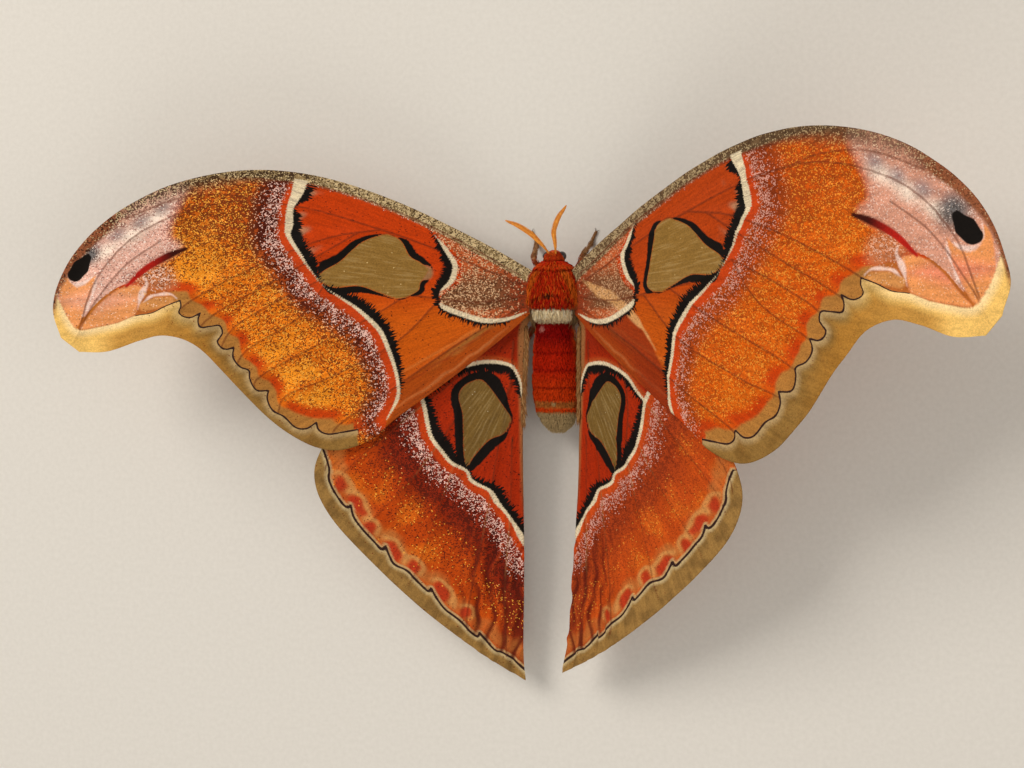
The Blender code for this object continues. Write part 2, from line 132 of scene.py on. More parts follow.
def measure(spots, line):
    """How far each spot is from a line, and at what share of the line's length it is nearest."""
    nearest = np.full(len(spots), np.inf)
    along = np.zeros(len(spots))
    run = 0.0
    for start, end in zip(line, line[1:]):
        step = end - start
        length = math.hypot(*step)
        if length:
            t = np.clip((spots - start) @ step / length**2, 0, 1)
            far = np.hypot(*(spots - start - t[:, None] * step).T)
            nearer = far < nearest
            nearest[nearer] = far[nearer]
            along[nearer] = run + t[nearer] * length
            run += length
    return nearest, along / run


def within(spots, loop):
    """Which spots lie inside a closed loop."""
    crossings = np.zeros(len(spots), int)
    x, y = spots.T
    for (x1, y1), (x2, y2) in zip(loop, np.roll(loop, -1, axis=0)):
        if y1 != y2:
            crossings += ((y1 > y) != (y2 > y)) & (x < (x2 - x1) * (y - y1) / (y2 - y1) + x1)
    return crossings % 2 == 1


def past(spots, line, round_by):
    """How far each spot is past a line, less than nothing before it; round_by closes the side past it."""
    far, along = measure(spots, line)
    return np.where(within(spots, np.vstack([line, round_by])), far, -far), along


def fade(value, start, end):
    """0 up to start, 1 from end, and smooth between."""
    t = np.clip((value - start) / (end - start), 0, 1)
    return t * t * (3 - 2 * t)


def wing_place(kind, side, plan, up):
    """Where points of a wing's plane stand, swung, bent, raised and set on the hinge, in metres."""
    sweep, reach_out, reach_forward = WING_POSE[kind, side]
    out, forward = plan[:, 0] * reach_out, plan[:, 1] * reach_forward
    out, forward = (
        out * math.cos(sweep) - forward * math.sin(sweep),
        out * math.sin(sweep) + forward * math.cos(sweep),
    )
    up = up - SPAN_DROOP * (out / SPAN) ** 2 - CHORD_DROOP * (forward / CHORD_LENGTH) ** 2
    if kind == "hindwing":
        up = up + TAIL_LIFT[side] * (np.maximum(0, -forward - TAIL_BEND) / TAIL_LENGTH) ** 2 - HINDWING_DROP
    rise = DIHEDRAL[side]
    x = SIDES[side] * (HINGE_OUT + out * math.cos(rise) - up * math.sin(rise))
    z = HINGE_UP + out * math.sin(rise) + up * math.cos(rise)
    return np.stack([x, forward, z], 1) * MM + np.array(datum)


def wing_shell(front, rear, along, across):
    """A flat wing of two faces joined round the rim, in mm, with each corner's face in its height."""
    shape = bmesh.new()
    bmesh.ops.create_grid(shape, x_segments=along, y_segments=across, size=0.5)
    upper = list(shape.faces)
    shares = np.array([corner.co[:2] for corner in shape.verts]) + 0.5
    lines = [evenly(smooth_line(edge), np.clip(shares[:, 0], 0, 1)) for edge in (front, rear)]
    flat = lines[0] + (lines[1] - lines[0]) * np.clip(shares[:, 1:], 0, 1)
    for corner, spot in zip(shape.verts, flat):
        corner.co = (*spot, 1)
    made = bmesh.ops.extrude_face_region(shape, geom=upper, use_keep_orig=True)
    for item in made["geom"]:
        if isinstance(item, bmesh.types.BMVert):
            item.co.z = -1
    bmesh.ops.recalc_face_normals(shape, faces=shape.faces)
    return shape


# The scales' colours, as light that they give back.
ORANGE_RED, DEEP_RED, BAND_RED = (0.50, 0.042, 0.0014), (0.25, 0.015, 0.0014), (0.52, 0.050, 0.005)
BURNT_ORANGE, SHADED_RED, HEM_BROWN = (0.54, 0.098, 0.003), (0.34, 0.050, 0.005), (0.28, 0.045, 0.004)
GOLD, LIGHT_GOLD, PALE_GOLD = (0.82, 0.21, 0.008), (0.92, 0.34, 0.02), (0.90, 0.40, 0.05)
BROWN_GOLD, RED_GOLD, GOLD_SPECK = (0.44, 0.066, 0.005), (0.60, 0.085, 0.002), (0.15, 0.026, 0.005)
MAROON, DARK_BROWN, BLACK = (0.040, 0.004, 0.002), (0.028, 0.009, 0.004), (0.006, 0.004, 0.003)
RUST, DARK_RUST, FOLD_SHADE = (0.42, 0.055, 0.008), (0.20, 0.024, 0.009), (0.24, 0.020, 0.003)
FROST_WHITE, PINK_WHITE, WISP_GREY = (0.80, 0.51, 0.43), (0.84, 0.56, 0.44), (0.36, 0.22, 0.12)
TAN, RIDGE_TAN_HIGHLIGHT, BEIGE = (0.40, 0.17, 0.035), (0.62, 0.32, 0.12), (0.50, 0.35, 0.17)
KHAKI, DARK_KHAKI, RIM_BROWN = (0.27, 0.145, 0.035), (0.16, 0.075, 0.014), (0.42, 0.18, 0.022)
YELLOW, PALE_YELLOW = (0.93, 0.58, 0.16), (0.95, 0.74, 0.42)
CREAM, DULL_CREAM = (0.80, 0.67, 0.44), (0.52, 0.42, 0.29)
OLIVE, OLIVE_SPECK, SPILL_GREY = (0.26, 0.14, 0.030), (0.70, 0.50, 0.22), (0.27, 0.17, 0.075)
# The right wing's tip pink is darker, in part painted shade.
TIP_PINK = {"left": (0.76, 0.44, 0.35), "right": (0.66, 0.32, 0.22)}
TIP_SPECK, TIP_PALE, TIP_FLUSH = (0.34, 0.14, 0.11), (0.92, 0.74, 0.65), (0.54, 0.20, 0.08)
CLOUD_CREAM, CLOUD_SLATE, SMOKE_GREY = (0.94, 0.80, 0.66), (0.27, 0.21, 0.21), (0.13, 0.13, 0.13)
# The right wing's lobe colour is darker and redder, in part painted shade.
LOBE_MIDDLE = {"left": (0.78, 0.34, 0.20), "right": (0.76, 0.24, 0.13)}
SALMON, LOBE_PALE, ARC_PINK = (0.80, 0.31, 0.095), (0.92, 0.60, 0.42), (0.90, 0.66, 0.58)
OVAL_BROWN, STREAK_RED = (0.62, 0.26, 0.075), (0.42, 0.012, 0.006)
BARK_GROUND = {"left": (0.25, 0.17, 0.075), "right": (0.13, 0.075, 0.035)}
BARK_RED, BARK_PALE = (0.27, 0.085, 0.035), (0.60, 0.45, 0.24)
PATCH_BROWN, PATCH_ROSE, PATCH_ROOT = (0.20, 0.075, 0.030), (0.52, 0.10, 0.025), (0.30, 0.035, 0.007)
PATCH_SPECK, PATCH_PALE = (0.09, 0.03, 0.012), (0.68, 0.42, 0.23)
RIB_MAROON, RIB_BROWN = (0.12, 0.02, 0.006), (0.16, 0.05, 0.025)

# Lines of the forewing's pattern, in mm outward and forward of its hinge.
ANTEMEDIAL = (
    (23, 17), (19.6, 12.6), (17.7, 9.5), (16.5, 7.2), (16.5, 5.2), (17.5, 2.6), (20, 0.2), (19.9, -2.0),
    (19.4, -3.4), (15.2, -5.4), (10.2, -7.1), (5.1, -7.0), (0.5, -5.4),
)
POSTMEDIAL = (
    (50.5, 31), (51.9, 26.4), (53.8, 22), (54.3, 18), (54.5, 15.4), (52.1, 11.1), (49.7, 6.9), (46.8, 2.8),
    (43.3, -0.1), (39.3, -3.1), (35.1, -7.4), (33.1, -10.9), (31.3, -16.8), (30.3, -22), (30.7, -25.8),
    (33.4, -31),
)
WINDOW = (
    ((48.6, 4.6), (46.4, 6.5), (42.6, 8.7), (37.9, 12.9), (33.2, 14.7), (30.9, 14.6)),
    {
        "left": ((28.4, 13.0), (26.6, 9.3), (24.2, 7.6), (22.6, 5.6), (24.4, 2.6), (25.1, 0.6)),
        "right": ((28.2, 13.4), (27.0, 10.3), (25.9, 7.2), (24.9, 4.0), (24.2, 1.0), (25.6, -0.6)),
    },
    ((29.3, -1.1), (33.9, 0.5), (38.5, 2.3), (44.6, 2.2), (48.6, 4.6)),
)
PATTERN_SHIFT = {  # how far inward of its own place the right wing's pattern lies, by place along the wing
    ("forewing", "right"): ((0, 16, 30, 49, 60, 77, 100, 110), (0, 2.5, 4.8, 5.6, 4.0, 3.0, 2.8, 0.8)),
    ("hindwing", "right"): ((0, 5, 20, 40, 48), (0, 1.0, 3.4, 1.5, 0.5)),
}
SPECK_BLUR = {"left": 0.12, "right": 0.5}  # how far the specks blend into the ground
APEX_EDGE = ((112, 9), (108.4, 1), (106.6, -3.2), (104.2, -6.2), (99.5, -5.7), (95, -4.8))
SCALLOPS = (
    ((95, -4.8), (90.9, -3.2), (86.9, -2.6), (83.8, -1.1), (80, 0.3)),
    ((80, 0.3), (79.8, -1.2), (80.3, -2.7), (79.2, -3.8), (77.5, -4.0), (75.5, -3.0)),
    ((75.5, -3.0), (76, -4.8), (75.4, -6.5), (72.6, -6.3), (71.0, -6.3), (70.4, -8.2), (71.7, -10.3),
     (70.2, -12.1), (67.9, -11.8)),
    ((67.9, -11.8), (68.2, -14.2), (66.6, -16.6), (64.6, -17.6), (64.4, -19.7), (63, -22.5), (60.3, -22.7)),
    ((60.3, -22.7), (60.7, -24.8), (59.5, -27.6), (56.9, -29.2), (54.4, -32.0), (51.8, -32.4), (49.5, -30.9)),
    ((49.5, -30.9), (49.0, -32.8), (46.9, -33.9), (43.2, -33.5), (40.0, -33.0)),
)
RED_EDGE = (
    (92, 3.5), (82, 2.4), (77.7, 1.7), (74.5, -1.8), (71.9, -3.3), (70, -5.9), (67.2, -9.5), (64.8, -15.3),
    (60.4, -20.1), (57.5, -25.8), (53.4, -29.2), (46.3, -30.3), (41, -31.5),
)
PINK_EDGE = ((77, 29), (79.5, 24), (81.6, 19.5), (82, 16), (79.8, 13.2), (86.4, 9.0), (92.1, 5.2))
BEYOND_PINK_EDGE = ((95.5, 3.6), (98.9, 1.0), (102.5, -3), (108, -3), (130, 0), (130, 60), (77, 60))
# How wide lines are, in mm, at shares of their length.
WINDOW_BORDER = (
    (0, 0.02, 0.05, 0.11, 0.2, 0.27, 0.30, 0.35, 0.38, 0.41, 0.45, 0.5, 0.58, 0.61, 0.64, 0.7, 0.76, 0.83,
     0.9, 0.93, 0.96, 0.98, 1),
    (-1, 0.6, 2.2, 1.9, 1.4, 0.6, 0.15, 0.15, 1.3, 1.7, 1.6, 1.2, 1.2, 1.1, 0.3, 0.2, 0.7, 1.6,
     1.9, 1.7, 0.5, -1, -1),
)
ANTEMEDIAL_WHITE = (
    (0, 0.1, 0.16, 0.25, 0.36, 0.43, 0.46, 0.5, 0.53, 0.56, 0.65, 0.8, 0.95, 1),
    (-0.6, 0.1, 0.45, 0.6, 0.65, 0.35, 0.05, -0.3, 0.4, 0.65, 0.65, 0.6, 0.35, 0.1),
)
POSTMEDIAL_WHITE = (
    (0, 0.06, 0.13, 0.19, 0.23, 0.3, 0.36, 0.43, 0.49, 0.56, 0.63, 0.7, 0.79, 0.87, 0.92, 1),
    (1.7, 1.5, 0.8, 1.0, 0.55, 0.4, 0.25, 0.05, 0.25, 0.4, 0.55, 0.55, 0.45, 0.4, 0.45, 0.1),
)
ANTEMEDIAL_BLACK = (
    (0, 0.1, 0.2, 0.3, 0.36, 0.43, 0.5, 0.55, 0.75, 0.88, 0.95, 1),
    (-1, 1.0, 2.2, 2.9, 3.1, 2.4, 1.3, 1.4, 1.5, 1.0, 0.2, -1),
)
POSTMEDIAL_BLACK = (
    (0, 0.05, 0.08, 0.13, 0.15, 0.24, 0.3, 0.36, 0.4, 0.44, 0.48, 0.56, 0.65, 0.75, 0.83, 0.89, 1),
    (3.4, 3.6, 3.2, 1.0, 2.8, 3.1, 2.7, 2.6, 0.8, 0.3, 1.8, 2.8, 2.8, 2.3, 1.7, 0.6, -1),
)
CRESCENT = (0, 0.18, 0.26, 0.36, 0.45, 0.5), (0, 0.9, 1.6, 1.9, 1.2, 0)
# How far the frost reaches, by place forward, and how deep the bark is, by place outward, in mm.
FROST_ENDS = (-30, -10, 5, 20, 30), (5.5, 7, 7.5, 8, 8)
BARK_DEPTHS = (0, 10, 20, 50, 70, 85, 98, 104, 109), (3.2, 3.4, 2.8, 2.4, 2.8, 3.3, 2.6, 2.0, 0.7)
# Single marks: places, and half widths or reaches, in mm.
HEM_STREAKS = (  # how deep each lies in the hem, in mm, and its colour
    (0.9, (0.20, 0.035, 0.006)), (2.0, (0.50, 0.17, 0.05)),
    (5.2, (0.26, 0.03, 0.004)), (7.4, (0.60, 0.17, 0.03)),
)
SPILL = (23.4, 5.2)  # where the left window's grey runs over its border
ROOT_FOLD = (2.5, 2.3), (7.8, -0.4), (12.5, -2.2), (17, -4.6), (21.7, -8.3), (26.6, -13.8)
ROOT_FOLD_WIDTHS = (0.4, 1.2, 1.5, 1.3, 0.4, 0.15)
TIP_CLOUDS = (  # colour, slant and reach of its edge, then place and size of each
    (CLOUD_CREAM, 0.7, 1.25, ((97.2, 13.0, 3.4), (90.8, 17.0, 3.8), (85.2, 20.8, 3.6))),
    (CLOUD_SLATE, 0.4, 1.4, ((100.8, 13.6, 2.8), (94.4, 17.2, 2.6), (88.6, 20.2, 2.5), (83.6, 23.4, 2.6))),
)
FLUSH = (85.5, 5.5)
SMOKE, SMOKE_REACH = (101.0, 12.4), {"left": 3.6, "right": 6.0}
EYE_SPOT = ((101.7, 11.6), (103.2, 9.4), (104.6, 7.5)), (1.0, 2.0, 1.7)
LOBES = (
    ((99.4, 7.6), (100.0, 4.8), (101.0, 1.6), (102.4, -1.3), (104.5, -5.4), (107.2, -4.4), (108.4, -1),
     (108.5, 3), (108.2, 7), (106.8, 9.5), (105.9, 8.4), (105.6, 6.0), (103.6, 4.9), (101.2, 6.2)),
    ((92.1, 4.6), (95.5, 3.0), (98.7, 0.4), (101.3, -2.6), (104.0, -6.0), (99.5, -5.5), (95.3, -4.7),
     (91.0, -3.0), (90.4, -1.5), (89.6, 1.6), (89.0, 4.0)),
)
OVAL = ((88.6, -0.9), (85.2, 0.0), (82.4, 0.3)), (1.3, 1.5, 1.0)
PALE_ARCS = (
    (((106.2, 9.8), (106.3, 7.2), (105.0, 5.3), (103.2, 5.3), (101.2, 6.3), (99.3, 7.8)), 0.32),
    (((99.3, 7.8), (99.7, 5.0), (100.8, 1.6), (102.0, -1.3)), 0.3),
    (((88.3, 6.4), (87.8, 4.6), (89.1, 2.2), (90.2, -1.7)), 0.55),
    (((88.8, 0.0), (87.0, 1.5), (85.0, 1.9), (82.3, 1.9), (80.8, 0.8)), 0.35),
)
RED_STREAK = ((78.3, 13.0), (81.5, 11.9), (85.3, 10.0), (88.7, 7.8), (92.6, 4.2)), (0.35, 0.75, 0.7, 0.6, 0.2)


def brush(spots, points, widths):
    """How far each spot is outside a stroke whose half width changes along it."""
    far, along = measure(spots, smooth_line(points))
    return far - np.interp(along, np.linspace(0, 1, len(widths)), widths)


def edging(depth, along, shares, widths):
    """How far each spot is outside a band that lies on one side of a line."""
    width = np.interp(along, shares, widths)
    return np.maximum(-3 * depth, depth - width)


def fall(value, start, end):
    """1 up to start, 0 from end, and smooth between."""
    return 1 - fade(value, start, end)


def even(colour, count):
    return np.tile(np.array(colour), (count, 1))


def wash(paint, colour, share):
    """Lays a colour over the paint."""
    return paint + (np.array(colour) - paint) * np.clip(share, 0, 1)[:, None]


def layered(paint, *layers):
    """Lays colours over the paint in turn, each with its share."""
    for colour, share in layers:
        paint = wash(paint, colour, share)
    return paint


def clouds(spots, size, seed):
    """Soft uneven patches from 0 to 1."""
    draw = np.random.default_rng(seed)
    total = np.zeros(len(spots))
    for _ in range(14):
        angle, phase = draw.uniform(0, 2 * math.pi, 2)
        wave = draw.uniform(0.6, 1.8) * 2 * math.pi / size
        total += np.sin(wave * (spots @ np.array([math.cos(angle), math.sin(angle)])) + phase)
    return np.clip(0.5 + total / 10, 0, 1)


def shifted(spots, kind, side):
    """The places in the pattern that the spots of a wing show."""
    out = spots[:, 0] + np.interp(spots[:, 0], *PATTERN_SHIFT.get((kind, side), ((0, 1), (0, 0))))
    return np.c_[out, spots[:, 1]]


class Scaling:
    """The scales at each spot of a wing: the ground, and dark and pale specks with their shares."""

    def __init__(self, ground, dark_share):
        count = len(dark_share)
        self.ground, self.dark, self.pale = (even(colour, count) for colour in (ground, MAROON, FROST_WHITE))
        self.dark_share, self.pale_share = dark_share, np.zeros(count)

    def tint(self, *layers):
        self.ground = layered(self.ground, *layers)

    def speck_colours(self, zone, dark, pale):
        self.dark, self.pale = wash(self.dark, dark, zone), wash(self.pale, pale, zone)

    def speck_shares(self, zone, dark, pale):
        self.dark_share = self.dark_share + (dark - self.dark_share) * zone
        self.pale_share = self.pale_share + (pale - self.pale_share) * zone


def line_fields(base, outer, whites, blacks, lengths):
    """How far each spot is outside the white lines and outside their black edging, and its place along."""
    (base, base_along), (outer, outer_along) = base, outer
    white = np.minimum(
        np.abs(base) - np.interp(base_along, *whites[0]), np.abs(outer) - np.interp(outer_along, *whites[1])
    )
    black = np.minimum(edging(-base, base_along, *blacks[0]), edging(-outer, outer_along, *blacks[1]))
    along = np.where(np.abs(base) < np.abs(outer), base_along * lengths[0], outer_along * lengths[1])
    return white, black, along


def paint_forewing(spots, nearest, side):
    """The forewing's markings as fields over its plane."""
    places, spots = spots, shifted(spots, "forewing", side)
    u, v = spots.T
    count, right = len(spots), side == "right"
    base, base_along = past(spots, smooth_line(ANTEMEDIAL), ((-9, -9), (-9, 30)))
    outer, outer_along = past(spots, smooth_line(POSTMEDIAL), ((33, -70), (150, -70), (150, 70), (50, 70)))
    pane = WINDOW[0] + WINDOW[1][side] + WINDOW[2]
    window, round_window = past(spots, smooth_line(pane), (pane[0],))
    waves = np.vstack([smooth_line(APEX_EDGE)] + [smooth_line(stroke, 4) for stroke in SCALLOPS])
    margin, _ = past(spots, waves, ((40, -70), (150, -70), (150, 9)))
    lunule, _ = past(spots, smooth_line(RED_EDGE), ((41, -70), (150, -70), (150, 3.5)))
    behind_fold, _ = past(spots, smooth_line(ROOT_FOLD + ((33, -24),)), ((33, -60), (-9, -60)))
    front, front_along = measure(places, smooth_line(FOREWING_FRONT))
    rear, _ = measure(places, smooth_line(FOREWING_REAR))
    patchy, cloudy, broad = clouds(spots, 13, 3), clouds(spots, 6, 5), clouds(spots, 26, 8)
    scaling = Scaling(ORANGE_RED, 0.004 + 0.012 * patchy)

    # The inner field, with a darker streaked hem, and a shade behind the right wing's fold.
    hem = fade(8 + 0.1 * u - rear, 0, 8) * fall(outer, -1, 0)
    fold = np.abs(rear - 3.6 - 0.07 * u) + 0.8 * cloudy
    scaling.tint(
        (BURNT_ORANGE, fade(-v, -6, 8) * 0.9),
        (SHADED_RED, fade(v, -30, 10) * 0.55 * right),
        (HEM_BROWN, hem * 0.75),
        (TAN, fall(fold, 0.4, 1.6) * fade(26 - u, 0, 14) * fall(base, -2, 0) * 0.8),
    )
    for depth, streak_colour in HEM_STREAKS:
        line = np.abs(rear - depth * (0.55 + u / 50) + 0.5 * cloudy)
        scaling.tint((streak_colour, fall(line, 0.1, 0.5) * fade(u, 2, 10) * fall(u, 26, 36) * 0.5))
    wisps = fade(outer, -6.5, -4) * fall(outer, -2.6, -1.4) * fade(nearest, 0.5, 1.6) * fade(v, 9, 13)
    scaling.tint(
        (FOLD_SHADE, fade(behind_fold, 0, 0.8) * fall(behind_fold, 6, 12) * 0.8 * right),
        (WISP_GREY, wisps * fade(cloudy, 0.45, 0.8) * 0.7),
    )

    # Beyond the white line: a red band, frosting over maroon, and a gold field with red against the margin.
    field = fade(outer, 0.0, 0.3)
    frost_end = np.interp(v, *FROST_ENDS)
    between = fade(nearest, 0.3, 2.6)
    glow = fade(broad, 0.35, 0.75) * between * fade(-lunule, 1.5, 4) * fade(outer, 6, 11)
    lunule = lunule + 0.9 * between - 0.5 + 0.5 * (cloudy - 0.5)
    gold = layered(
        even(GOLD, count),
        (BURNT_ORANGE, fade(patchy, 0.2, 0.9) * 0.7),
        (LIGHT_GOLD, glow * 0.6),
        (BROWN_GOLD, fade(v, 3, 22) * 0.6),
        (RED_GOLD, field * 0.8 * right),
        (ORANGE_RED, fade(lunule, -4.6 + 1.6 * cloudy, -1.2) * (0.35 + 0.6 * between)),
    )
    maroon_zone = field * fall(outer, frost_end * 0.8, frost_end * 2.1 - 3 * cloudy) * (0.55 if right else 1)
    scaling.tint(
        (gold, field),
        (RUST, maroon_zone * 0.6),
        (DARK_RUST, maroon_zone * fall(outer, frost_end * 0.6, frost_end * 1.3) * 0.8),
        (BAND_RED, field * fall(outer, 1.8, 2.8)),
    )
    frost = 0.75 * fall(outer, 2.6, frost_end) + 0.25 * fall(outer, 3, frost_end * 1.5)
    frost = frost * fade(outer, 1.7, 2.7) * (0.30 + 0.22 * cloudy)
    speckle = 0.34 + 0.14 * cloudy + 0.30 * maroon_zone - 0.12 * fade(broad, 0.35, 0.75)
    speckle += 0.36 * fade(v, 4, 18)
    speckle = speckle * fade(outer, 2.2, 3.4) * (1 - fade(lunule, -4.0, -0.8) * 0.8)
    scaling.speck_shares(field > 0.5, speckle, frost)
    golden = field * fade(outer, frost_end * 0.8, frost_end * 1.3)
    scaling.speck_colours(golden, GOLD_SPECK, PALE_GOLD)
    scaling.pale_share += golden * fall(lunule, -3, -1) * 0.16

    # The tan half moons, the plain margin, and the yellow under the hooked tip.
    lunules = fade(lunule, -0.25, 0.5)
    plain = fade(margin, -0.15, 0.15)
    khaki = layered(
        even(KHAKI, count),
        (DARK_KHAKI, fade(cloudy, 0.4, 0.9) * 0.5),
        (BEIGE, 0.75 * fall(margin, 0.1, 2.0)),
        (YELLOW, fade(u, 72, 93) * 0.9),
        (PALE_YELLOW, fade(u, 80, 93) * fall(margin, 0.2, 2.4) * 0.7),
        (RIM_BROWN, fade(margin, 1.2, 3.4) * fade(u, 60, 78) * fall(u, 94, 102) * 0.75),
    )
    scaling.tint((TAN, lunules * (1 - fade(u, 80, 84) * 0.4)), (khaki, plain))
    scaling.speck_shares(1 - (1 - lunules) * (1 - plain), 0.012 * fall(u, 80, 90), 0)

    # The tip: a pink field with cream and slate clouds, an eye spot, and two salmon lobes above the margin.
    pink, _ = past(spots, smooth_line(PINK_EDGE), BEYOND_PINK_EDGE)
    tip = fade(pink, -1.6, 1.4) * (1 - plain)
    scaling.tint((TIP_PINK[side], tip * 0.95))
    scaling.speck_colours(tip, TIP_SPECK, TIP_PALE)
    scaling.speck_shares(tip, 0.40 * fall(pink, -1, 3.5) + 0.12, 0.10)
    for cloud_colour, slant, edge, tip_clouds in TIP_CLOUDS:
        for out, forward, reach in tip_clouds:
            apart = np.hypot((out - u) + slant * (forward - v), 1.1 * (forward - v)) / reach
            scaling.tint((cloud_colour, tip * fall(apart, 0.0, edge) * 0.85))
    flush = fall(np.hypot(u - FLUSH[0], 1.2 * (v - FLUSH[1])), 2.5, 6.5)
    flush_share = flush * (1 - tip) * (1 - plain)
    scaling.tint((TIP_FLUSH, flush_share * (1 - lunules) * 0.8))
    scaling.pale = wash(scaling.pale, PINK_WHITE, flush)
    scaling.pale_share += 0.18 * flush_share
    lobes = np.zeros(count)
    for loop in LOBES:
        inside, _ = past(spots, smooth_line(loop + loop[:1]), (loop[0],))
        lobe = fade(inside, -0.15, 0.45) * (1 - plain)
        lobe_rim = fade(np.abs(v - 1) + np.abs(u - 100) * 0.3, 1, 5)
        scaling.tint((LOBE_MIDDLE[side], lobe), (SALMON, lobe * lobe_rim * 0.9))
        lobes = np.maximum(lobes, lobe)
    oval = fall(brush(spots, *OVAL), -0.5, 0.3) * (1 - plain)
    scaling.tint((OVAL_BROWN, oval))
    for points, reach in PALE_ARCS:
        arc = fall(brush(spots, points, (0, reach, 0)) + 0.5 * (cloudy - 0.5), -0.15, 0.3)
        scaling.tint((ARC_PINK, arc * (1 - plain) * 0.85))
    covered, uncovered = np.maximum(lobes, oval), (1 - lobes) * (1 - oval)
    scaling.pale = wash(scaling.pale, LOBE_PALE, covered)
    scaling.dark_share = scaling.dark_share * uncovered + 0.012 * covered
    scaling.pale_share = scaling.pale_share * uncovered + 0.05 * covered
    smoke = fall(np.hypot(u - SMOKE[0], v - SMOKE[1]), 0.8, SMOKE_REACH[side]) * tip
    scaling.tint((SMOKE_GREY, smoke * 0.9))
    scaling.dark = wash(scaling.dark, DARK_BROWN, smoke)
    scaling.dark_share += 0.35 * smoke
    streak = fall(brush(spots, *RED_STREAK), -0.1, 0.35)
    scaling.tint((wash(even(MAROON, count), STREAK_RED, fade(u, 81, 88)), streak))
    scaling.speck_shares(streak, 0, 0)

    # The front edge, speckled like bark, and the frosted patch at the wing's base.
    soft = 0.5 + 2.2 * fade(u, 55, 75) * fall(u, 92, 98)
    bark = fade(np.interp(u, *BARK_DEPTHS) - front, -soft, soft) * fall(front_along, 0.93, 0.97)
    scaling.tint((BARK_GROUND[side], bark * (1 - 0.45 * fade(u, 72, 86))), (BARK_RED, bark * fade(u, 88, 97)))
    scaling.speck_colours(bark, DARK_BROWN, BARK_PALE)
    far_out, grainy = fade(u, 38, 56), 1 - 0.65 * fade(u, 93, 101)
    scaling.speck_shares(bark, (0.40 + 0.28 * far_out) * grainy, (0.44 - 0.27 * far_out) * grainy)
    patch = fade(base, -0.2, 0.2) * (1 - bark)
    rosy = np.clip(fade(v, 1, 7) + fade(-v, 3.4, 5.5), 0, 1)
    crescent = edging(base, base_along, *CRESCENT)
    scaling.tint(
        (PATCH_BROWN, patch),
        (PATCH_ROSE, patch * rosy * 0.85),
        (PATCH_ROOT, patch * fade(8 - u, 0, 7) * 0.85),
        (ORANGE_RED, patch * fall(crescent, -0.2, 0.3) * (base_along < 0.5)),
    )
    scaling.speck_colours(patch, PATCH_SPECK, PATCH_PALE)
    scaling.speck_shares(patch, 0.42 - 0.18 * rosy, 0.07 + 0.21 * fade(u, 3, 12))

    # The clear window, then the white and black lines.
    clear = fade(window, -0.1, 0.15)
    # On the right wing, a tan streak along the root fold, lightened as a painted highlight where the fold's
    # ridge catches the light.
    ridge = fall(brush(spots, ROOT_FOLD, ROOT_FOLD_WIDTHS) + 0.6 * (cloudy - 0.5), -0.5, 0.25)
    scaling.tint((OLIVE, clear), (RIDGE_TAN_HIGHLIGHT, ridge * 0.9 * right))
    scaling.pale = wash(scaling.pale, OLIVE_SPECK, clear)
    scaling.speck_shares(clear, 0, 0.002)
    whites, blacks = (ANTEMEDIAL_WHITE, POSTMEDIAL_WHITE), (ANTEMEDIAL_BLACK, POSTMEDIAL_BLACK)
    white, black, along = line_fields((base, base_along), (outer, outer_along), whites, blacks, (45, 75))
    white = np.maximum(white, 1.6 - front)
    black = np.maximum(black, np.where(outer < 5, 2.6 - front, -9))
    bars = edging(-window, round_window, *WINDOW_BORDER)
    if not right:
        spill = np.hypot(u - SPILL[0], 1.1 * (v - SPILL[1])) + 0.8 * (cloudy - 0.5)
        scaling.tint((SPILL_GREY, fall(spill, 1.6, 2.6) * (1 - clear) * 0.85))
        bars = np.maximum(bars, 2.1 - spill)
    bars = np.minimum(bars, brush(spots, *EYE_SPOT))
    wavy = np.where(u > 91, 9, margin * (1 + 0.9 * fade(u, 74, 90)))
    ribbing = layered(even(RIB_MAROON, count), (RIB_BROWN, tip), (scaling.ground, plain * 0.85))
    return scaling, (white, black, bars, wavy), window, along, ribbing


# The hindwing's own colours.
ROOT_RED, ROOT_RIM, STRIP_TAN = (0.34, 0.020, 0.0012), (0.45, 0.10, 0.02), (0.30, 0.13, 0.042)
FIELD_ORANGE, WARM_ORANGE, WASHED_ORANGE = (0.52, 0.066, 0.003), (0.66, 0.15, 0.008), (0.50, 0.075, 0.010)
TAIL_DARK, FOLD_PAINTED_SHADE, FOLD_PAINTED_HIGHLIGHT = (0.14, 0.010, 0.004), (0.11, 0.008, 0.003), (0.46, 0.07, 0.008)
HIND_MAROON, LINE_MAROON, HIND_BAND = (0.24, 0.020, 0.005), (0.22, 0.022, 0.008), (0.50, 0.048, 0.005)
HIND_SPECK, SPOT_RED, SPOT_HALO = (0.11, 0.012, 0.004), (0.44, 0.030, 0.008), (0.58, 0.25, 0.07)
LUNULE_TAN, RIM_TAN, RIB_TAN = (0.46, 0.14, 0.030), (0.50, 0.30, 0.13), (0.30, 0.12, 0.04)
HIND_KHAKI, HIND_UMBER, HIND_BEIGE = (0.30, 0.165, 0.045), (0.16, 0.085, 0.024), (0.55, 0.42, 0.22)
HIND_OLIVE, HIND_OLIVE_SPECK = (0.17, 0.095, 0.022), (0.55, 0.45, 0.28)

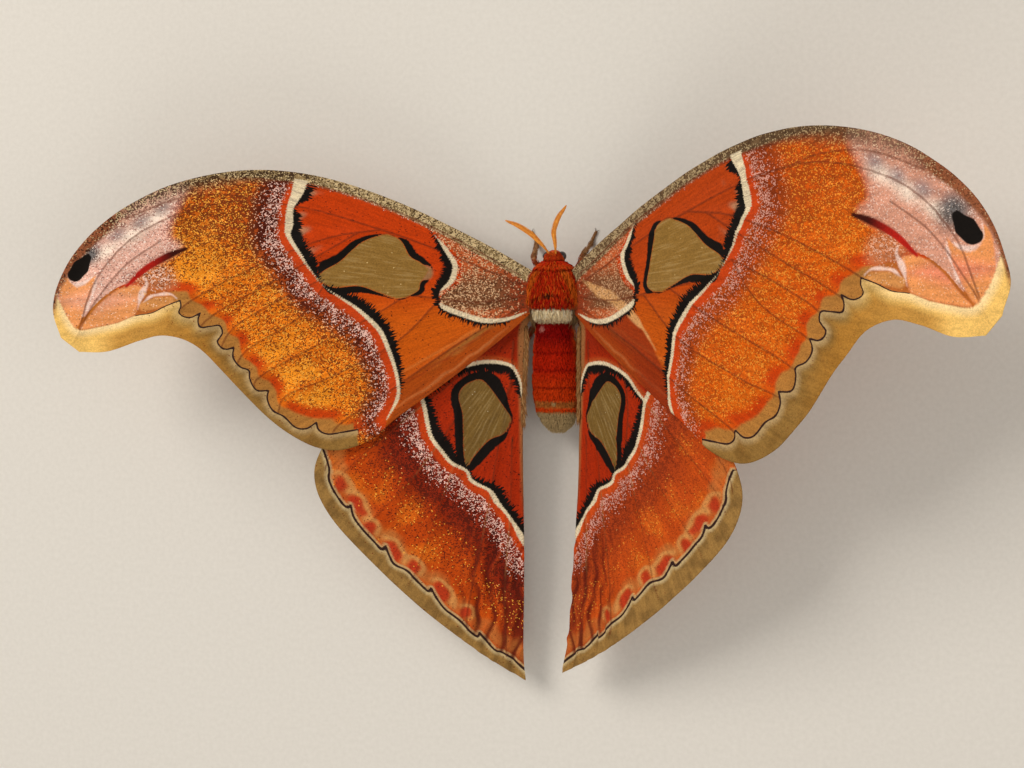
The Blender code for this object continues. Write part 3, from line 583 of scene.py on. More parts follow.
# Lines of the hindwing's pattern.
HIND_ANTEMEDIAL = (
    (23.7, -24.9), (20.7, -22.6), (17.8, -20), (15.2, -18.5), (12.6, -17.7), (9.9, -17), (7.3, -16.8),
    (5.0, -17), (3.0, -17.6), (1.8, -19.1), (0.8, -21.5), (0.2, -25), (-1.5, -32),
)
HIND_POSTMEDIAL = (
    (28, -10), (26, -18), (23.4, -25.2), (22.4, -28.3), (21.7, -31.7), (20.7, -34.8), (18.3, -37.8),
    (16, -40.4), (12.4, -42.2), (11.5, -44.1), (9.9, -45.2), (6.8, -46.6), (5.1, -49.2), (2.7, -51.8),
    (0.3, -55.2), (-3, -61),
)
HIND_WINDOW = (
    (10.9, -21), (13.1, -22.1), (14.6, -23.9), (14.7, -26), (13.8, -29), (13.5, -33), (13.2, -38),
    (12.4, -41.9), (11.3, -39.7), (9.5, -37.2), (7.3, -34.8), (4.3, -33.3), (3.1, -31.5), (2.7, -29.5),
    (3.8, -27.7), (5.8, -25.1), (7.9, -22.5), (9.5, -21.1), (10.9, -21),
)
HIND_SCALLOPS = (
    ((45.5, -38.5), (43.9, -42.9), (43.9, -45.5), (42.5, -48.5), (39.9, -51.9), (38.7, -51.4)),
    ((38.7, -51.4), (37.9, -54.2), (35.8, -56.8), (32.6, -60.2), (31.2, -61.5), (30.4, -60.6)),
    ((30.4, -60.6), (29.4, -62.9), (28.2, -64.8), (25.1, -66.1), (22.7, -68.5), (20.2, -70.7), (19.6, -69.9)),
    ((19.6, -69.9), (18, -72.5), (16, -74.9), (12.9, -77), (8.9, -80.7), (8, -79.9)),
    ((8, -79.9), (4.6, -83.5), (1.2, -84.8), (-4, -89)),
)
# How wide lines are, in mm, at shares of their length.
HIND_WINDOW_BORDER = (
    (0, 0.05, 0.1, 0.2, 0.3, 0.4, 0.446, 0.5, 0.6, 0.67, 0.7, 0.76, 0.8, 0.87, 0.93, 0.97, 1),
    (1.9, 1.5, 1.8, 1.9, 1.9, 1.7, 1.2, 2.1, 2.3, 1.5, 0.5, 0.4, 0.9, 2.3, 3.0, 2.5, 1.9),
)
HIND_WHITES = (
    ((0, 0.1, 0.3, 0.5, 0.66, 0.8, 0.9, 1), (0.3, 0.35, 0.45, 0.45, 0.35, 0.2, 0, -0.5)),
    ((0, 0.25, 0.35, 0.5, 0.6, 0.64, 0.7, 0.76, 0.8, 0.86, 0.92, 1),
     (0.4, 0.5, 0.5, 0.45, 0.35, 0.45, 0.35, 0.65, 0.4, 0.4, 0.75, 0.3)),
)
HIND_BLACKS = (
    ((0, 0.1, 0.3, 0.42, 0.55, 0.66, 0.75, 0.82, 1), (0.9, 1.6, 1.8, 2.3, 2.6, 2.0, 1.2, 0.4, -1)),
    ((0, 0.28, 0.35, 0.45, 0.55, 0.62, 0.68, 0.74, 0.8, 0.86, 0.92, 0.97, 1),
     (1.5, 1.7, 2.6, 3.1, 2.3, 0.9, 1.8, 2.7, 2.4, 2.2, 1.7, 0.9, 0)),
)
INNER_STRIP = (5, 15, 30, 50), (2.0, 1.7, 1.2, 0.8)  # its width by place behind the root
RED_SPOTS = (  # place, and half the length
    (41.0, -46.6, 2.0), (37.2, -51.4, 2.9), (34.2, -56.6, 1.7), (28.6, -61.6, 2.9), (23.8, -65.4, 1.9),
    (17.0, -71.0, 2.8), (11.4, -75.2, 1.4),
)
SPOT_WIDTH = 1.6
MARGIN_SLOPE = (0.63, 0.78)  # the direction of the margin where the red spots are


def tail_folds(spots):
    """The lengthwise folds of the limp tail, from -1 to 1, and how far the tail is crumpled."""
    u, v = spots.T
    bent = 1.9 * u + 1.3 * np.sin(0.31 * v) + 0.8 * np.sin(0.83 * v + 0.4 * u)
    crumple = fade(-v, 50, 66) * fall(u, 7 + 0.12 * (v + 90), 15)
    return np.sin(bent) * 0.7 + 0.3 * np.sin(1.7 * bent + 0.5 * v), crumple


def paint_hindwing(spots, nearest, side):
    """The hindwing's markings as fields over its plane."""
    places, spots = spots, shifted(spots, "hindwing", side)
    u, v = spots.T
    count = len(spots)
    base, base_along = past(spots, smooth_line(HIND_ANTEMEDIAL), ((-20, -32), (-20, 20), (40, 20)))
    outer_round = ((-3, -120), (90, -120), (90, 20), (28, 20))
    outer, outer_along = past(spots, smooth_line(HIND_POSTMEDIAL), outer_round)
    window, round_window = past(spots, smooth_line(HIND_WINDOW), (HIND_WINDOW[0],))
    waves = np.vstack([smooth_line(stroke, 4) for stroke in HIND_SCALLOPS])
    margin, _ = past(spots, waves, ((-4, -120), (90, -120), (90, -38.5)))
    inner, _ = measure(places, smooth_line(HINDWING_REAR))
    patchy, cloudy = clouds(spots, 12, 11), clouds(spots, 5, 13)
    scaling = Scaling(ROOT_RED, 0.03 * np.ones(count))
    scaling.tint((DEEP_RED, fade(base, 0, 5)), (ROOT_RIM, fade(base, -0.1, 0.3) * fall(base, 0.6, 1.8) * 0.6))

    # Beyond the white line: a red band, frosting over maroon, and an orange field, darker in the tail.
    field = fade(outer, 0, 0.3)
    far_out = fade(outer, 8, 16)
    between = fade(nearest, 0.3, 3.0)
    orange = layered(
        even(DEEP_RED, count),
        (FIELD_ORANGE, far_out * (0.75 + 0.25 * patchy)),
        (WARM_ORANGE, far_out * fade(patchy, 0.4, 0.95) * fade(inner, 6, 16) * 0.55),
        (TAIL_DARK, fade(7 - inner, 0, 5) * fade(-v, 50, 66) * 0.8),
    )
    maroon_zone = field * fall(outer, 4 + 3 * between, 12 + 4 * between - 4 * patchy)
    scaling.tint(
        (orange, field),
        (HIND_MAROON, maroon_zone * 0.8),
        (LINE_MAROON, field * fall(outer, 3, 8) * 0.7),
        (HIND_BAND, field * fall(outer, 1.6, 2.5)),
        (WASHED_ORANGE, field * 0.45 * (side == "right")),
    )
    speckle = fade(outer, 2, 4) * (0.34 + 0.15 * patchy + 0.15 * between) * (1 - 0.7 * far_out)
    scaling.dark_share = np.where(field > 0.5, speckle, scaling.dark_share)
    scaling.dark = wash(scaling.dark, HIND_SPECK, field * fade(outer, 4, 12))
    scaling.pale = wash(scaling.pale, PALE_GOLD, fade(outer, 8, 11))
    scaling.pale_share = field * fade(outer, 1.6, 2.6) * fall(outer, 3.0, 7.5) * (0.30 + 0.2 * cloudy)
    scaling.pale_share += field * fade(outer, 9, 12) * 0.07 * patchy

    # The row of red spots in tan, the black wavy line and the plain margin.
    lunules = fade(margin, -4.2 - 1.6 * cloudy, -3.0) * (1 - 0.55 * fade(margin, -1.6, -0.8))
    scaling.tint((LUNULE_TAN, lunules * (0.45 + 0.5 * cloudy)))
    for out, forward, reach in RED_SPOTS:
        lengthwise = MARGIN_SLOPE[0] * (u - out) + MARGIN_SLOPE[1] * (v - forward)
        crosswise = MARGIN_SLOPE[1] * (u - out) - MARGIN_SLOPE[0] * (v - forward)
        apart = np.hypot(lengthwise / reach, crosswise / SPOT_WIDTH) + 0.4 * (cloudy - 0.5)
        halo = fall(np.abs(apart - 1.3), 0.1, 0.5) * fade(0.9 - crosswise, 0, 1.5)
        scaling.tint((SPOT_HALO, halo * 0.85), (SPOT_RED, fall(apart, 0.6, 1.2) * 0.9))
    plain = fade(margin, -0.1, 0.15)
    khaki = layered(
        even(HIND_KHAKI, count),
        (HIND_UMBER, fade(cloudy, 0.3, 0.9) * 0.6),
        (HIND_BEIGE, 0.85 * fall(margin, 0.3, 1.3)),
    )
    folds, crumple = tail_folds(spots)
    crumple = crumple * (1 - plain)
    strip = fade(np.interp(-v, *INNER_STRIP) - inner, 0, 0.9)
    clear = fade(window, -0.1, 0.15)
    scaling.tint(
        (RIM_TAN, fade(margin, -0.85, -0.55)),
        (khaki, plain),
        # Painted shade in the troughs of the tail's folds, and a painted highlight on their crests.
        (FOLD_PAINTED_SHADE, crumple * fade(-folds, 0.0, 0.8) * 0.85),
        (FOLD_PAINTED_HIGHLIGHT, crumple * fade(folds, 0.4, 1.0) * 0.5),
        (STRIP_TAN, strip * fall(-v, 42, 56) * 0.85),
        (HIND_OLIVE, clear),
    )
    keep = (1 - 0.9 * fade(margin, -7, -3.5)) * (1 - plain)
    scaling.dark_share, scaling.pale_share = scaling.dark_share * keep + 0.008, scaling.pale_share * keep
    scaling.pale = wash(scaling.pale, HIND_OLIVE_SPECK, clear)
    scaling.speck_shares(clear, 0, 0.002)

    # The white and black lines, and the black round the window.
    base_line, outer_line = (base, base_along), (outer, outer_along)
    white, black, along = line_fields(base_line, outer_line, HIND_WHITES, HIND_BLACKS, (35, 60))
    outside = (outer > 0.3) | (base > 0.3)
    black = np.where(outside, 9, black)
    bars = np.where(outside, 9, edging(-window, round_window, *HIND_WINDOW_BORDER))
    ribbing = wash(even(RIB_MAROON, count), RIB_TAN, maroon_zone)
    return scaling, (white, black, bars, margin * 0.75), window, along, ribbing


class Finish:
    """A material being made up from its nodes."""

    def __init__(self, name, **settings):
        self.material = bpy.data.materials.new(name)
        self.material.use_nodes = True
        self.tree = self.material.node_tree
        self.shader = self.tree.nodes["Principled BSDF"]
        for socket, value in settings.items():
            self.shader.inputs[socket.replace("_", " ")].default_value = value

    def add(self, kind, *values, **settings):
        """A node with its settings, and with values or other nodes' outputs in its sockets."""
        node = self.tree.nodes.new("ShaderNode" + kind)
        for name, value in settings.items():
            setattr(node, name, value)
        sockets = [socket for socket in node.inputs if socket.enabled]
        for socket, value in zip(sockets, values):
            if isinstance(value, bpy.types.NodeSocket):
                self.tree.links.new(value, socket)
            else:
                socket.default_value = value
        return node

    def read(self, name, output="Color"):
        return self.add("Attribute", attribute_name=name).outputs[output]

    def parts(self, name):
        return self.add("SeparateXYZ", self.read(name, "Vector")).outputs

    def math(self, operation, *values):
        return self.add("Math", *values, operation=operation).outputs[0]

    def noise(self, place, scale, detail):
        return self.add("TexNoise", place, scale, detail, noise_dimensions="2D").outputs[0]

    def within(self, value, start, end):
        """0 at start and 1 at end."""
        return self.add("MapRange", value, start, end, 0.0, 1.0, interpolation_type="SMOOTHSTEP").outputs[0]

    def lay(self, share, under, over, how="MIX"):
        colours = [(*value, 1) if isinstance(value, tuple) else value for value in (under, over)]
        node = self.add("Mix", share, *colours, data_type="RGBA", blend_type=how)
        return next(socket for socket in node.outputs if socket.enabled)

    def join(self, value, socket):
        self.tree.links.new(value, self.shader.inputs[socket])

    def bump(self, height, depth, strength):
        node = self.tree.nodes.new("ShaderNodeBump")
        node.inputs["Strength"].default_value = strength
        node.inputs["Distance"].default_value = depth
        self.tree.links.new(height, node.inputs["Height"])
        self.join(node.outputs["Normal"], "Normal")


SCALES_PER_MM, CLUMPS_PER_MM = 4.6, 0.8
SCALE_SLIMNESS = 0.85  # how many scales a mm outward, against 1 across the wing
SCALE_THICKNESS = 0.00004  # in metres
ROUGHNESS, CLEAR_GLOSS = 0.72, 0.3  # of the scales, and how much smoother the clear windows are
WAVE_BROWN, FILM_TAN = (0.03, 0.012, 0.01), (0.42, 0.34, 0.18)
scales = Finish("wing_scales", Roughness=ROUGHNESS, Specular_IOR_Level=0.08)
plan = scales.read("plan", "Vector")
slim = (SCALE_SLIMNESS * SCALES_PER_MM, SCALES_PER_MM, 1)
stretched = scales.add("VectorMath", plan, slim, operation="MULTIPLY").outputs[0]
mosaic = scales.add("TexVoronoi", stretched, 1.0, voronoi_dimensions="2D", feature="F1")
chance = scales.add("SeparateColor", mosaic.outputs["Color"]).outputs
share, lines, ribs = (scales.parts(name) for name in ("flecks", "lines", "ribs"))
clump = scales.math("MULTIPLY_ADD", scales.noise(plan, CLUMPS_PER_MM, 4.0), 3.6, -0.8)
dark_chance = scales.math("MULTIPLY", share[0], clump)
pale_chance = scales.math("MULTIPLY", share[1], clump)
line_place = scales.math("MULTIPLY", share[2], 3.2), scales.math("MULTIPLY", lines[0], 0.4)
ragged = scales.noise(scales.add("CombineXYZ", *line_place).outputs[0], 1.0, 3.0)
ragged = scales.math("SUBTRACT", ragged, 0.5)
streak = scales.noise(scales.read("lie", "Vector"), 1.0, 3.0)
dark_scale = scales.math("LESS_THAN", chance[0], dark_chance)
pale_scale = scales.math("LESS_THAN", chance[1], pale_chance)
colour = scales.lay(dark_scale, scales.read("ground"), scales.read("dark"))
colour = scales.lay(pale_scale, colour, scales.read("pale"))
rib = scales.math("MULTIPLY", scales.within(ribs[0], 0.36, 0.1), scales.within(ribs[2], 0.2, -0.4))
colour = scales.lay(scales.math("MULTIPLY", rib, 0.6), colour, scales.read("ribbing"))
edge = scales.math("MULTIPLY_ADD", scales.math("MULTIPLY", ragged, ribs[1]), 3.8, lines[1])
colour = scales.lay(scales.within(edge, 0.16, -0.16), colour, BLACK)
edge = scales.math("MULTIPLY_ADD", ragged, 1.0, lines[0])
cream = scales.lay(scales.within(ragged, -0.2, 0.15), DULL_CREAM, CREAM)
colour = scales.lay(scales.within(edge, 0.12, -0.18), colour, cream)
wave = scales.math("MULTIPLY_ADD", ragged, 0.25, scales.math("ABSOLUTE", lines[2]))
colour = scales.lay(scales.within(wave, 0.27, 0.13), colour, WAVE_BROWN)
film = scales.math("MULTIPLY", scales.within(streak, 0.5, 0.72), scales.within(ribs[2], 0.0, 0.4))
colour = scales.lay(scales.math("MULTIPLY", film, 0.16), colour, FILM_TAN)
tone = scales.math("MULTIPLY_ADD", chance[2], 0.3, scales.math("MULTIPLY_ADD", streak, 0.6, 0.55))
tone = scales.add("CombineColor", tone, tone, tone).outputs[0]
scales.join(scales.lay(1.0, colour, tone, "MULTIPLY"), "Base Color")
gloss = scales.math("MULTIPLY_ADD", scales.within(ribs[2], -0.2, 0.2), -CLEAR_GLOSS, ROUGHNESS)
scales.join(gloss, "Roughness")
scales.bump(mosaic.outputs["Distance"], SCALE_THICKNESS, 0.35)

VEIN_WIDTH, VEIN_THINNING = 0.34, 0.6
PLEAT_WIDTH = 2.6
RIPPLE, RIPPLE_LENGTH = 0.34, 16


def wing_relief(kind, spots, rim, nearest):
    """How far the middle of the membrane leaves its plane, and its half thickness there."""
    thinning = 1 - VEIN_THINNING * spots[:, 0] / SPAN
    ridge = VEIN_HEIGHT * np.exp(-(nearest / VEIN_WIDTH) ** 2) * thinning * fade(rim, 0, 1.6)
    sag = PLEAT * (1 - np.exp(-(nearest / PLEAT_WIDTH) ** 2)) * fade(rim, 0, 4)
    ripple = RIPPLE * (clouds(spots, RIPPLE_LENGTH, 21) - 0.5) * (0.6 + spots[:, 0] / 60)
    if kind == "hindwing":
        folds, crumple = tail_folds(spots)
        ripple = ripple + TAIL_FOLD * folds * crumple
    half = MEMBRANE / 2 * (0.5 + 0.5 * fade(rim, 0, 1.4))
    return ripple - sag, half + ridge


def store(mesh, name, values, kind="FLOAT_COLOR", key="color"):
    """Gives a mesh one value a corner, for its material to read."""
    mesh.attributes.new(name, kind, "POINT").data.foreach_set(key, values.ravel())


STREAKS_ACROSS, STREAKS_ALONG = 70, 0.16  # how fine the streaks of scales are, per radian and per mm
FAN_START = 6  # how far inward of the hinge the streaks fan out from, in mm
BAR_TOOTHING = 0.12  # how ragged the black round the window is, against 1 for the black beside the lines
UNDERSIDE_SHARE, UNDERSIDE_TAN = 0.72, 0.22  # how the upper side's colour and tan mix below


def spread_wing(kind, front, rear, veins, paint, along, across):
    """Makes one kind of wing, flat and painted, and sets a copy on each side."""
    shape = wing_shell(front, rear, along, across)
    flat = bpy.data.meshes.new(kind)
    shape.to_mesh(flat)
    shape.free()
    corners = np.array([corner.co for corner in flat.vertices])
    spots, face = corners[:, :2], corners[:, 2]
    outline = np.vstack([smooth_line(front), smooth_line(rear)[::-1], smooth_line(front)[:1]])
    rim, _ = measure(spots, outline)
    nearest = np.min([measure(spots, smooth_line(vein, 4))[0] for vein in veins], axis=0)
    middle, half = wing_relief(kind, spots, rim, nearest)
    reach = np.hypot(*spots.T)
    fan = np.arctan2(spots[:, 1], spots[:, 0] + FAN_START)
    for side in SIDES:
        scaling, (white, black, bars, wavy), window, along_line, ribbing = paint(spots, nearest, side)
        ground = scaling.ground
        dark, pale = (speck + (ground - speck) * SPECK_BLUR[side] for speck in (scaling.dark, scaling.pale))
        toothing = np.where(black < bars, 1.0, BAR_TOOTHING)
        under = (face < 0)[:, None]
        ground = np.where(under, ground * UNDERSIDE_SHARE + np.array(TAN) * UNDERSIDE_TAN, ground)
        mesh = flat.copy()
        for name, columns in (
            ("plan", (spots, np.zeros(len(spots)))),
            ("flecks", (scaling.dark_share, scaling.pale_share, along_line)),
            ("lines", (white, np.minimum(black, bars), wavy)),
            ("ribs", (nearest, toothing, window)),
            ("lie", (fan * STREAKS_ACROSS, reach * STREAKS_ALONG, np.zeros(len(spots)))),
        ):
            store(mesh, name, np.c_[columns], "FLOAT_VECTOR", "vector")
        for name, values in (("ground", ground), ("dark", dark), ("pale", pale), ("ribbing", ribbing)):
            store(mesh, name, np.c_[values, np.ones(len(values))])
        placed = wing_place(kind, side, spots, middle + face * half)
        mesh.vertices.foreach_set("co", placed.ravel())
        if SIDES[side] < 0:
            mesh.flip_normals()
        mesh.shade_smooth()
        mesh.materials.append(scales.material)
        wing = bpy.data.objects.new(f"{kind}_{side}_scaled", mesh)
        bpy.context.scene.collection.objects.link(wing)
        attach(wing, "root")
        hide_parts(f"{kind}_{side}")
    bpy.data.meshes.remove(flat)


spread_wing("forewing", FOREWING_FRONT, FOREWING_REAR, FOREWING_VEINS, paint_forewing, 300, 150)
spread_wing("hindwing", HINDWING_FRONT, HINDWING_REAR, HINDWING_VEINS, paint_hindwing, 250, 95)


# The body: head, thorax, abdomen and legs under one skin.
# The real body is a jointed horny case, packed with muscle in the thorax and with eggs in the long
# abdomen, and it hardly shows through its coat of scales and hair. It is lofted, then closed over as one.
SKIN_STATIONS = (  # forward of the thorax's middle, half width, underside and top, in mm
    (9.45, 0.5, 9.2, 10.6), (9.2, 1.1, 8.6, 11.3), (8.6, 1.75, 7.8, 12.0), (7.7, 2.0, 7.6, 12.4),
    (6.9, 1.9, 7.9, 12.2), (6.2, 2.9, 7.5, 12.5), (5.2, 4.1, 6.8, 13.4), (3.2, 4.7, 6.1, 14.1),
    (0.0, 4.95, 5.6, 14.5), (-3.2, 4.9, 5.4, 14.2), (-5.4, 4.5, 5.4, 13.5), (-6.7, 3.8, 5.8, 12.6),
    (-11.0, 4.5, 4.8, 12.8), (-17.0, 5.05, 3.8, 12.5), (-23.0, 5.25, 3.3, 11.7), (-28.0, 4.65, 3.4, 10.1),
    (-31.2, 3.15, 4.0, 8.5), (-33.3, 0.8, 5.3, 6.6),
)
SKIN_ROWS = (9.45, -6.9, 60), (-7.2, -33.3, 110)  # where rows of rings start and end, and how many
RING_SIDES = 48
ABDOMEN_RINGS = (-10.6, -14.7, -18.8, -22.9, -26.7, -29.8)
GROOVE_DEPTH, GROOVE_WIDTH = 0.22, 0.45
LEG_RADII = (0.6, 0.7, 0.48, 0.52, 0.40, 0.34, 0.28)
LEG_PATHS = {
    "foreleg": (
        (2.6, 3.6, 7.4), (4.6, 5.0, 5.4), (5.8, 7.4, 6.6), (6.2, 9.2, 4.2), (6.6, 10.6, 1.2),
        (7.0, 12.0, 0.28), (8.0, 14.2, 0.24),
    ),
    "midleg": (
        (3.4, -0.6, 6.6), (6.4, -1.2, 5.0), (9.6, -1.8, 6.4), (12.0, -2.6, 4.2), (14.2, -3.4, 1.2),
        (16.0, -4.2, 0.28), (18.6, -5.2, 0.24),
    ),
    "hindleg": (
        (3.0, -4.6, 6.4), (5.8, -8.2, 4.6), (8.6, -13.6, 6.0), (10.2, -18.4, 4.0), (11.6, -22.6, 1.2),
        (12.6, -25.2, 0.28), (14.0, -28.6, 0.24),
    ),
}
SKIN_GRAIN = 0.2  # the mesh's own size, in mm
FLOOR_GAP = 0.02  # the least height of skin and hair above the floor, in mm
SKIN_PORES = 2600  # a metre


def leg_line(sign, path):
    return smooth_line([(sign * x, y, z) for x, y, z in path], 5)


def loft(shape, rings):
    """Bridges a row of rings and closes both ends."""
    for one, two in zip(rings, rings[1:]):
        bmesh.ops.bridge_loops(shape, edges=one + two)
    for end in (rings[0], rings[-1]):
        bmesh.ops.contextual_create(shape, geom=end)


def hoop(shape, sides, place):
    made = bmesh.ops.create_circle(shape, segments=sides, radius=1, matrix=place)
    return list({edge for corner in made["verts"] for edge in corner.link_edges})


def tube(shape, path, radii, sides=10):
    """A round tapering tube along a path, in mm from the thorax's middle at floor level."""
    rings = []
    for count, centre in enumerate(path):
        along = Vector(path[min(count + 1, len(path) - 1)] - path[max(count - 1, 0)])
        turn = along.to_track_quat("Z", "Y").to_matrix().to_4x4()
        size = Matrix.Diagonal((radii[count], radii[count], 1, 1))
        rings.append(hoop(shape, sides, Matrix.Translation(Vector(centre)) @ turn @ size))
    loft(shape, rings)


def settle(shape, name, finish):
    """Makes an object of a shape in mm, in its place on the body."""
    bmesh.ops.transform(shape, matrix=Matrix.Translation(datum) @ Matrix.Scale(MM, 4), verts=shape.verts)
    mesh = bpy.data.meshes.new(name)
    shape.to_mesh(mesh)
    shape.free()
    mesh.shade_smooth()
    mesh.materials.append(finish.material)
    thing = bpy.data.objects.new(name, mesh)
    bpy.context.scene.collection.objects.link(thing)
    return thing


def body_at(forward):
    """The skin's half width, middle level and half height at places along the body, in mm."""
    rows = smooth_line(SKIN_STATIONS, 4)[::-1]
    half_width, under, top = (np.interp(forward, rows[:, 0], rows[:, axis]) for axis in (1, 2, 3))
    groove = sum(np.exp(-((forward - ring) / GROOVE_WIDTH) ** 2) for ring in ABDOMEN_RINGS)
    return half_width - GROOVE_DEPTH * groove, (under + top) / 2, (top - under) / 2 - GROOVE_DEPTH * groove


# The coat's colours, from the head back.
HEAD_RED = (0.48, 0.030, 0.004)
COLLAR_RED = (0.74, 0.026, 0.002)
THORAX_RED = (0.58, 0.022, 0.002)
TEGULA_ORANGE = (0.72, 0.13, 0.010)
ARCH_DARK = (0.10, 0.008, 0.002)
SPOT_DARK = (0.05, 0.008, 0.003)
TUFT_RED = (0.42, 0.007, 0.0015)
FRINGE_CREAM = (0.84, 0.66, 0.38)
CORNER_BROWN = (0.08, 0.045, 0.025)
ABDOMEN_DARK = (0.28, 0.002, 0.0006)
ABDOMEN_RED = (0.60, 0.018, 0.001)
ABDOMEN_ORANGE = (0.72, 0.058, 0.003)
FLANK_CREAM = (0.60, 0.38, 0.16)
MARK_PINK = (0.60, 0.20, 0.16)
BAND_TAN = (0.50, 0.15, 0.028)
TIP_GREY = (0.46, 0.32, 0.15)
LEG_TAN = (0.36, 0.17, 0.065)
BEAD_PITCH = 1.35  # of the pale beads along the flanks, in mm


def mottle_group():
    """Fine uneven grain and a colour that wanders between two tones with it."""
    group = bpy.data.node_groups.new("mottle", "ShaderNodeTree")
    for name, way, kind in (
        ("Scale", "INPUT", "Float"), ("First", "INPUT", "Color"), ("Second", "INPUT", "Color"),
        ("Color", "OUTPUT", "Color"), ("Grain", "OUTPUT", "Float"),
    ):
        group.interface.new_socket(name, in_out=way, socket_type="NodeSocket" + kind)
    given, place = group.nodes.new("NodeGroupInput"), group.nodes.new("ShaderNodeTexCoord")
    noise, mix = group.nodes.new("ShaderNodeTexNoise"), group.nodes.new("ShaderNodeMix")
    spread, made = group.nodes.new("ShaderNodeMapRange"), group.nodes.new("NodeGroupOutput")
    mix.data_type = "RGBA"
    share, first, second = (socket for socket in mix.inputs if socket.enabled)
    mixed = next(socket for socket in mix.outputs if socket.enabled)
    noise.inputs["Detail"].default_value = 3
    spread.inputs["From Min"].default_value, spread.inputs["From Max"].default_value = 0.3, 0.7
    for source, socket in (
        (place.outputs["Object"], noise.inputs["Vector"]), (given.outputs["Scale"], noise.inputs["Scale"]),
        (noise.outputs[0], spread.inputs["Value"]), (spread.outputs[0], share),
        (given.outputs["First"], first), (given.outputs["Second"], second),
        (mixed, made.inputs["Color"]), (noise.outputs[0], made.inputs["Grain"]),
    ):
        group.links.new(source, socket)
    return group


mottle = mottle_group()


def mottled(finish, grains, first, second):
    """A mottle in a finish: so many grains a metre, between two colours."""
    node = finish.tree.nodes.new("ShaderNodeGroup")
    node.node_tree = mottle
    node.inputs["Scale"].default_value = grains
    for socket, value in (("First", first), ("Second", second)):
        node.inputs[socket].default_value = (*value, 1)
    return node.outputs


def coat_colours(forward, angle):
    """The markings of skin and coat by place along the body and turn from the ridge of the back."""
    turn = np.abs(angle)
    streak = np.abs(turn - np.interp(forward, [-5, 0, 4.5], [1.3, 0.95, 0.62]))
    along_streak = fade(4.8 - forward, 0, 0.8) * fade(forward, -5, -3.5)
    arch = np.abs(forward + 1.65 + 1.9 * turn**2)
    middle_spot = np.hypot(turn * 2.6, (forward + 1.5) * 1.2)
    corner = np.hypot((turn - 1.15) * 3.2, (forward + 5.2) / 1.9)
    ring = np.min([np.abs(forward - place) for place in ABDOMEN_RINGS], axis=0)
    beads = 0.5 + 0.5 * np.cos((forward + 1.0) * 2 * math.pi / BEAD_PITCH)
    bead_line = fall(np.abs(turn - 1.5), 0.05, 0.13) * fade(-8 - forward, 0, 1)
    back_mark = np.hypot(turn * 4.5, forward + 26.8)
    left_mark = np.hypot((angle + 0.55) * 4, forward + 9.3)
    return layered(
        even(HEAD_RED, len(forward)),
        (TEGULA_ORANGE, fall(turn, 0.2, 0.6) * fade(forward, 7.4, 8.4) * 0.5),
        (ABDOMEN_DARK, fall(np.abs(forward - 6.7), 0.1, 0.4) * 0.8),
        (COLLAR_RED, fade(6.6 - forward, 0, 0.4)),
        (THORAX_RED, fade(4.5 - forward, 0, 0.8)),
        (TEGULA_ORANGE, fall(np.abs(forward - 5.1), 0.1, 0.45) * 0.45),
        (TEGULA_ORANGE, fall(streak, 0.06, 0.3) * along_streak),
        (ABDOMEN_DARK, fall(np.abs(streak - 0.36), 0.03, 0.1) * along_streak * 0.5),
        (ARCH_DARK, fall(arch, 0.15, 0.55) * fall(turn, 0.85, 1.05) * 0.8),
        (SPOT_DARK, fall(middle_spot, 0.3, 0.9) * 0.9),
        (ABDOMEN_DARK, fall(np.abs(forward - 4.3), 0.15, 0.4) * fall(turn, 0.8, 1.3) * 0.85),
        (TUFT_RED, fade(-2.1 - 1.9 * turn**2 - forward, 0, 0.4) * fall(turn, 0.85, 1.0)),
        (FRINGE_CREAM, fade(-4.3 - forward, 0, 0.3) * fall(turn, 0.92, 1.02)),
        (CORNER_BROWN, fall(corner, 0.5, 0.95) * 0.9),
        (ABDOMEN_DARK, fade(-7.7 - forward, 0, 0.3)),
        (ABDOMEN_RED, fade(-10 - forward, 0, 6)),
        (ABDOMEN_ORANGE, fade(-18 - forward, 0, 6) * 0.8),
        (ABDOMEN_ORANGE, fade(turn, 0.95, 1.4) * fade(-8 - forward, 0, 2)),
        # Painted shade in the grooves between the abdomen's segments.
        (ABDOMEN_DARK, fall(ring, 0.12, 0.4) * fade(-9 - forward, 0, 1) * 0.55),
        (FLANK_CREAM, bead_line * (0.4 + 0.6 * beads)),
        (TEGULA_ORANGE, fade(turn, 2.0, 2.6) * 0.7),
        (BAND_TAN, fade(-26.0 - forward, 0, 0.4) * fall(turn, 0.9, 1.5)),
        (ABDOMEN_ORANGE, fade(-27.7 - forward, 0, 0.3) * fall(-28.5 - forward, 0, 0.4)),
        (FLANK_CREAM, fall(back_mark, 0.3, 0.7)),
        (MARK_PINK, fall(left_mark, 0.4, 0.9)),
        (TIP_GREY, fade(-28.7 - forward, 0, 0.5)),
    )


body_shape = bmesh.new()
rings = []
for forward in np.concatenate([np.linspace(*row) for row in SKIN_ROWS]):
    half_width, centre, half_height = (float(value) for value in body_at(forward))
    place = Matrix.Translation((0, forward, centre)) @ Matrix.Rotation(math.pi / 2, 4, "X")
    rings.append(hoop(body_shape, RING_SIDES, place @ Matrix.Diagonal((half_width, half_height, 1, 1))))
loft(body_shape, rings)
leg_radii = smooth_line([(radius, 0) for radius in LEG_RADII], 5)[:, 0]
for sign in SIDES.values():
    for path in LEG_PATHS.values():
        tube(body_shape, leg_line(sign, path), leg_radii)
for corner in body_shape.verts:
    corner.co.z = max(corner.co.z, FLOOR_GAP)
bmesh.ops.recalc_face_normals(body_shape, faces=body_shape.faces)
chitin = Finish("body_skin", Roughness=0.6, Specular_IOR_Level=0.2)
chitin.join(chitin.read("markings"), "Base Color")
chitin.bump(mottled(chitin, SKIN_PORES, HEAD_RED, TUFT_RED)["Grain"], 0.00005, 0.5)
skin = settle(body_shape, "body_skin", chitin)
closing = skin.modifiers.new("closing", "REMESH")
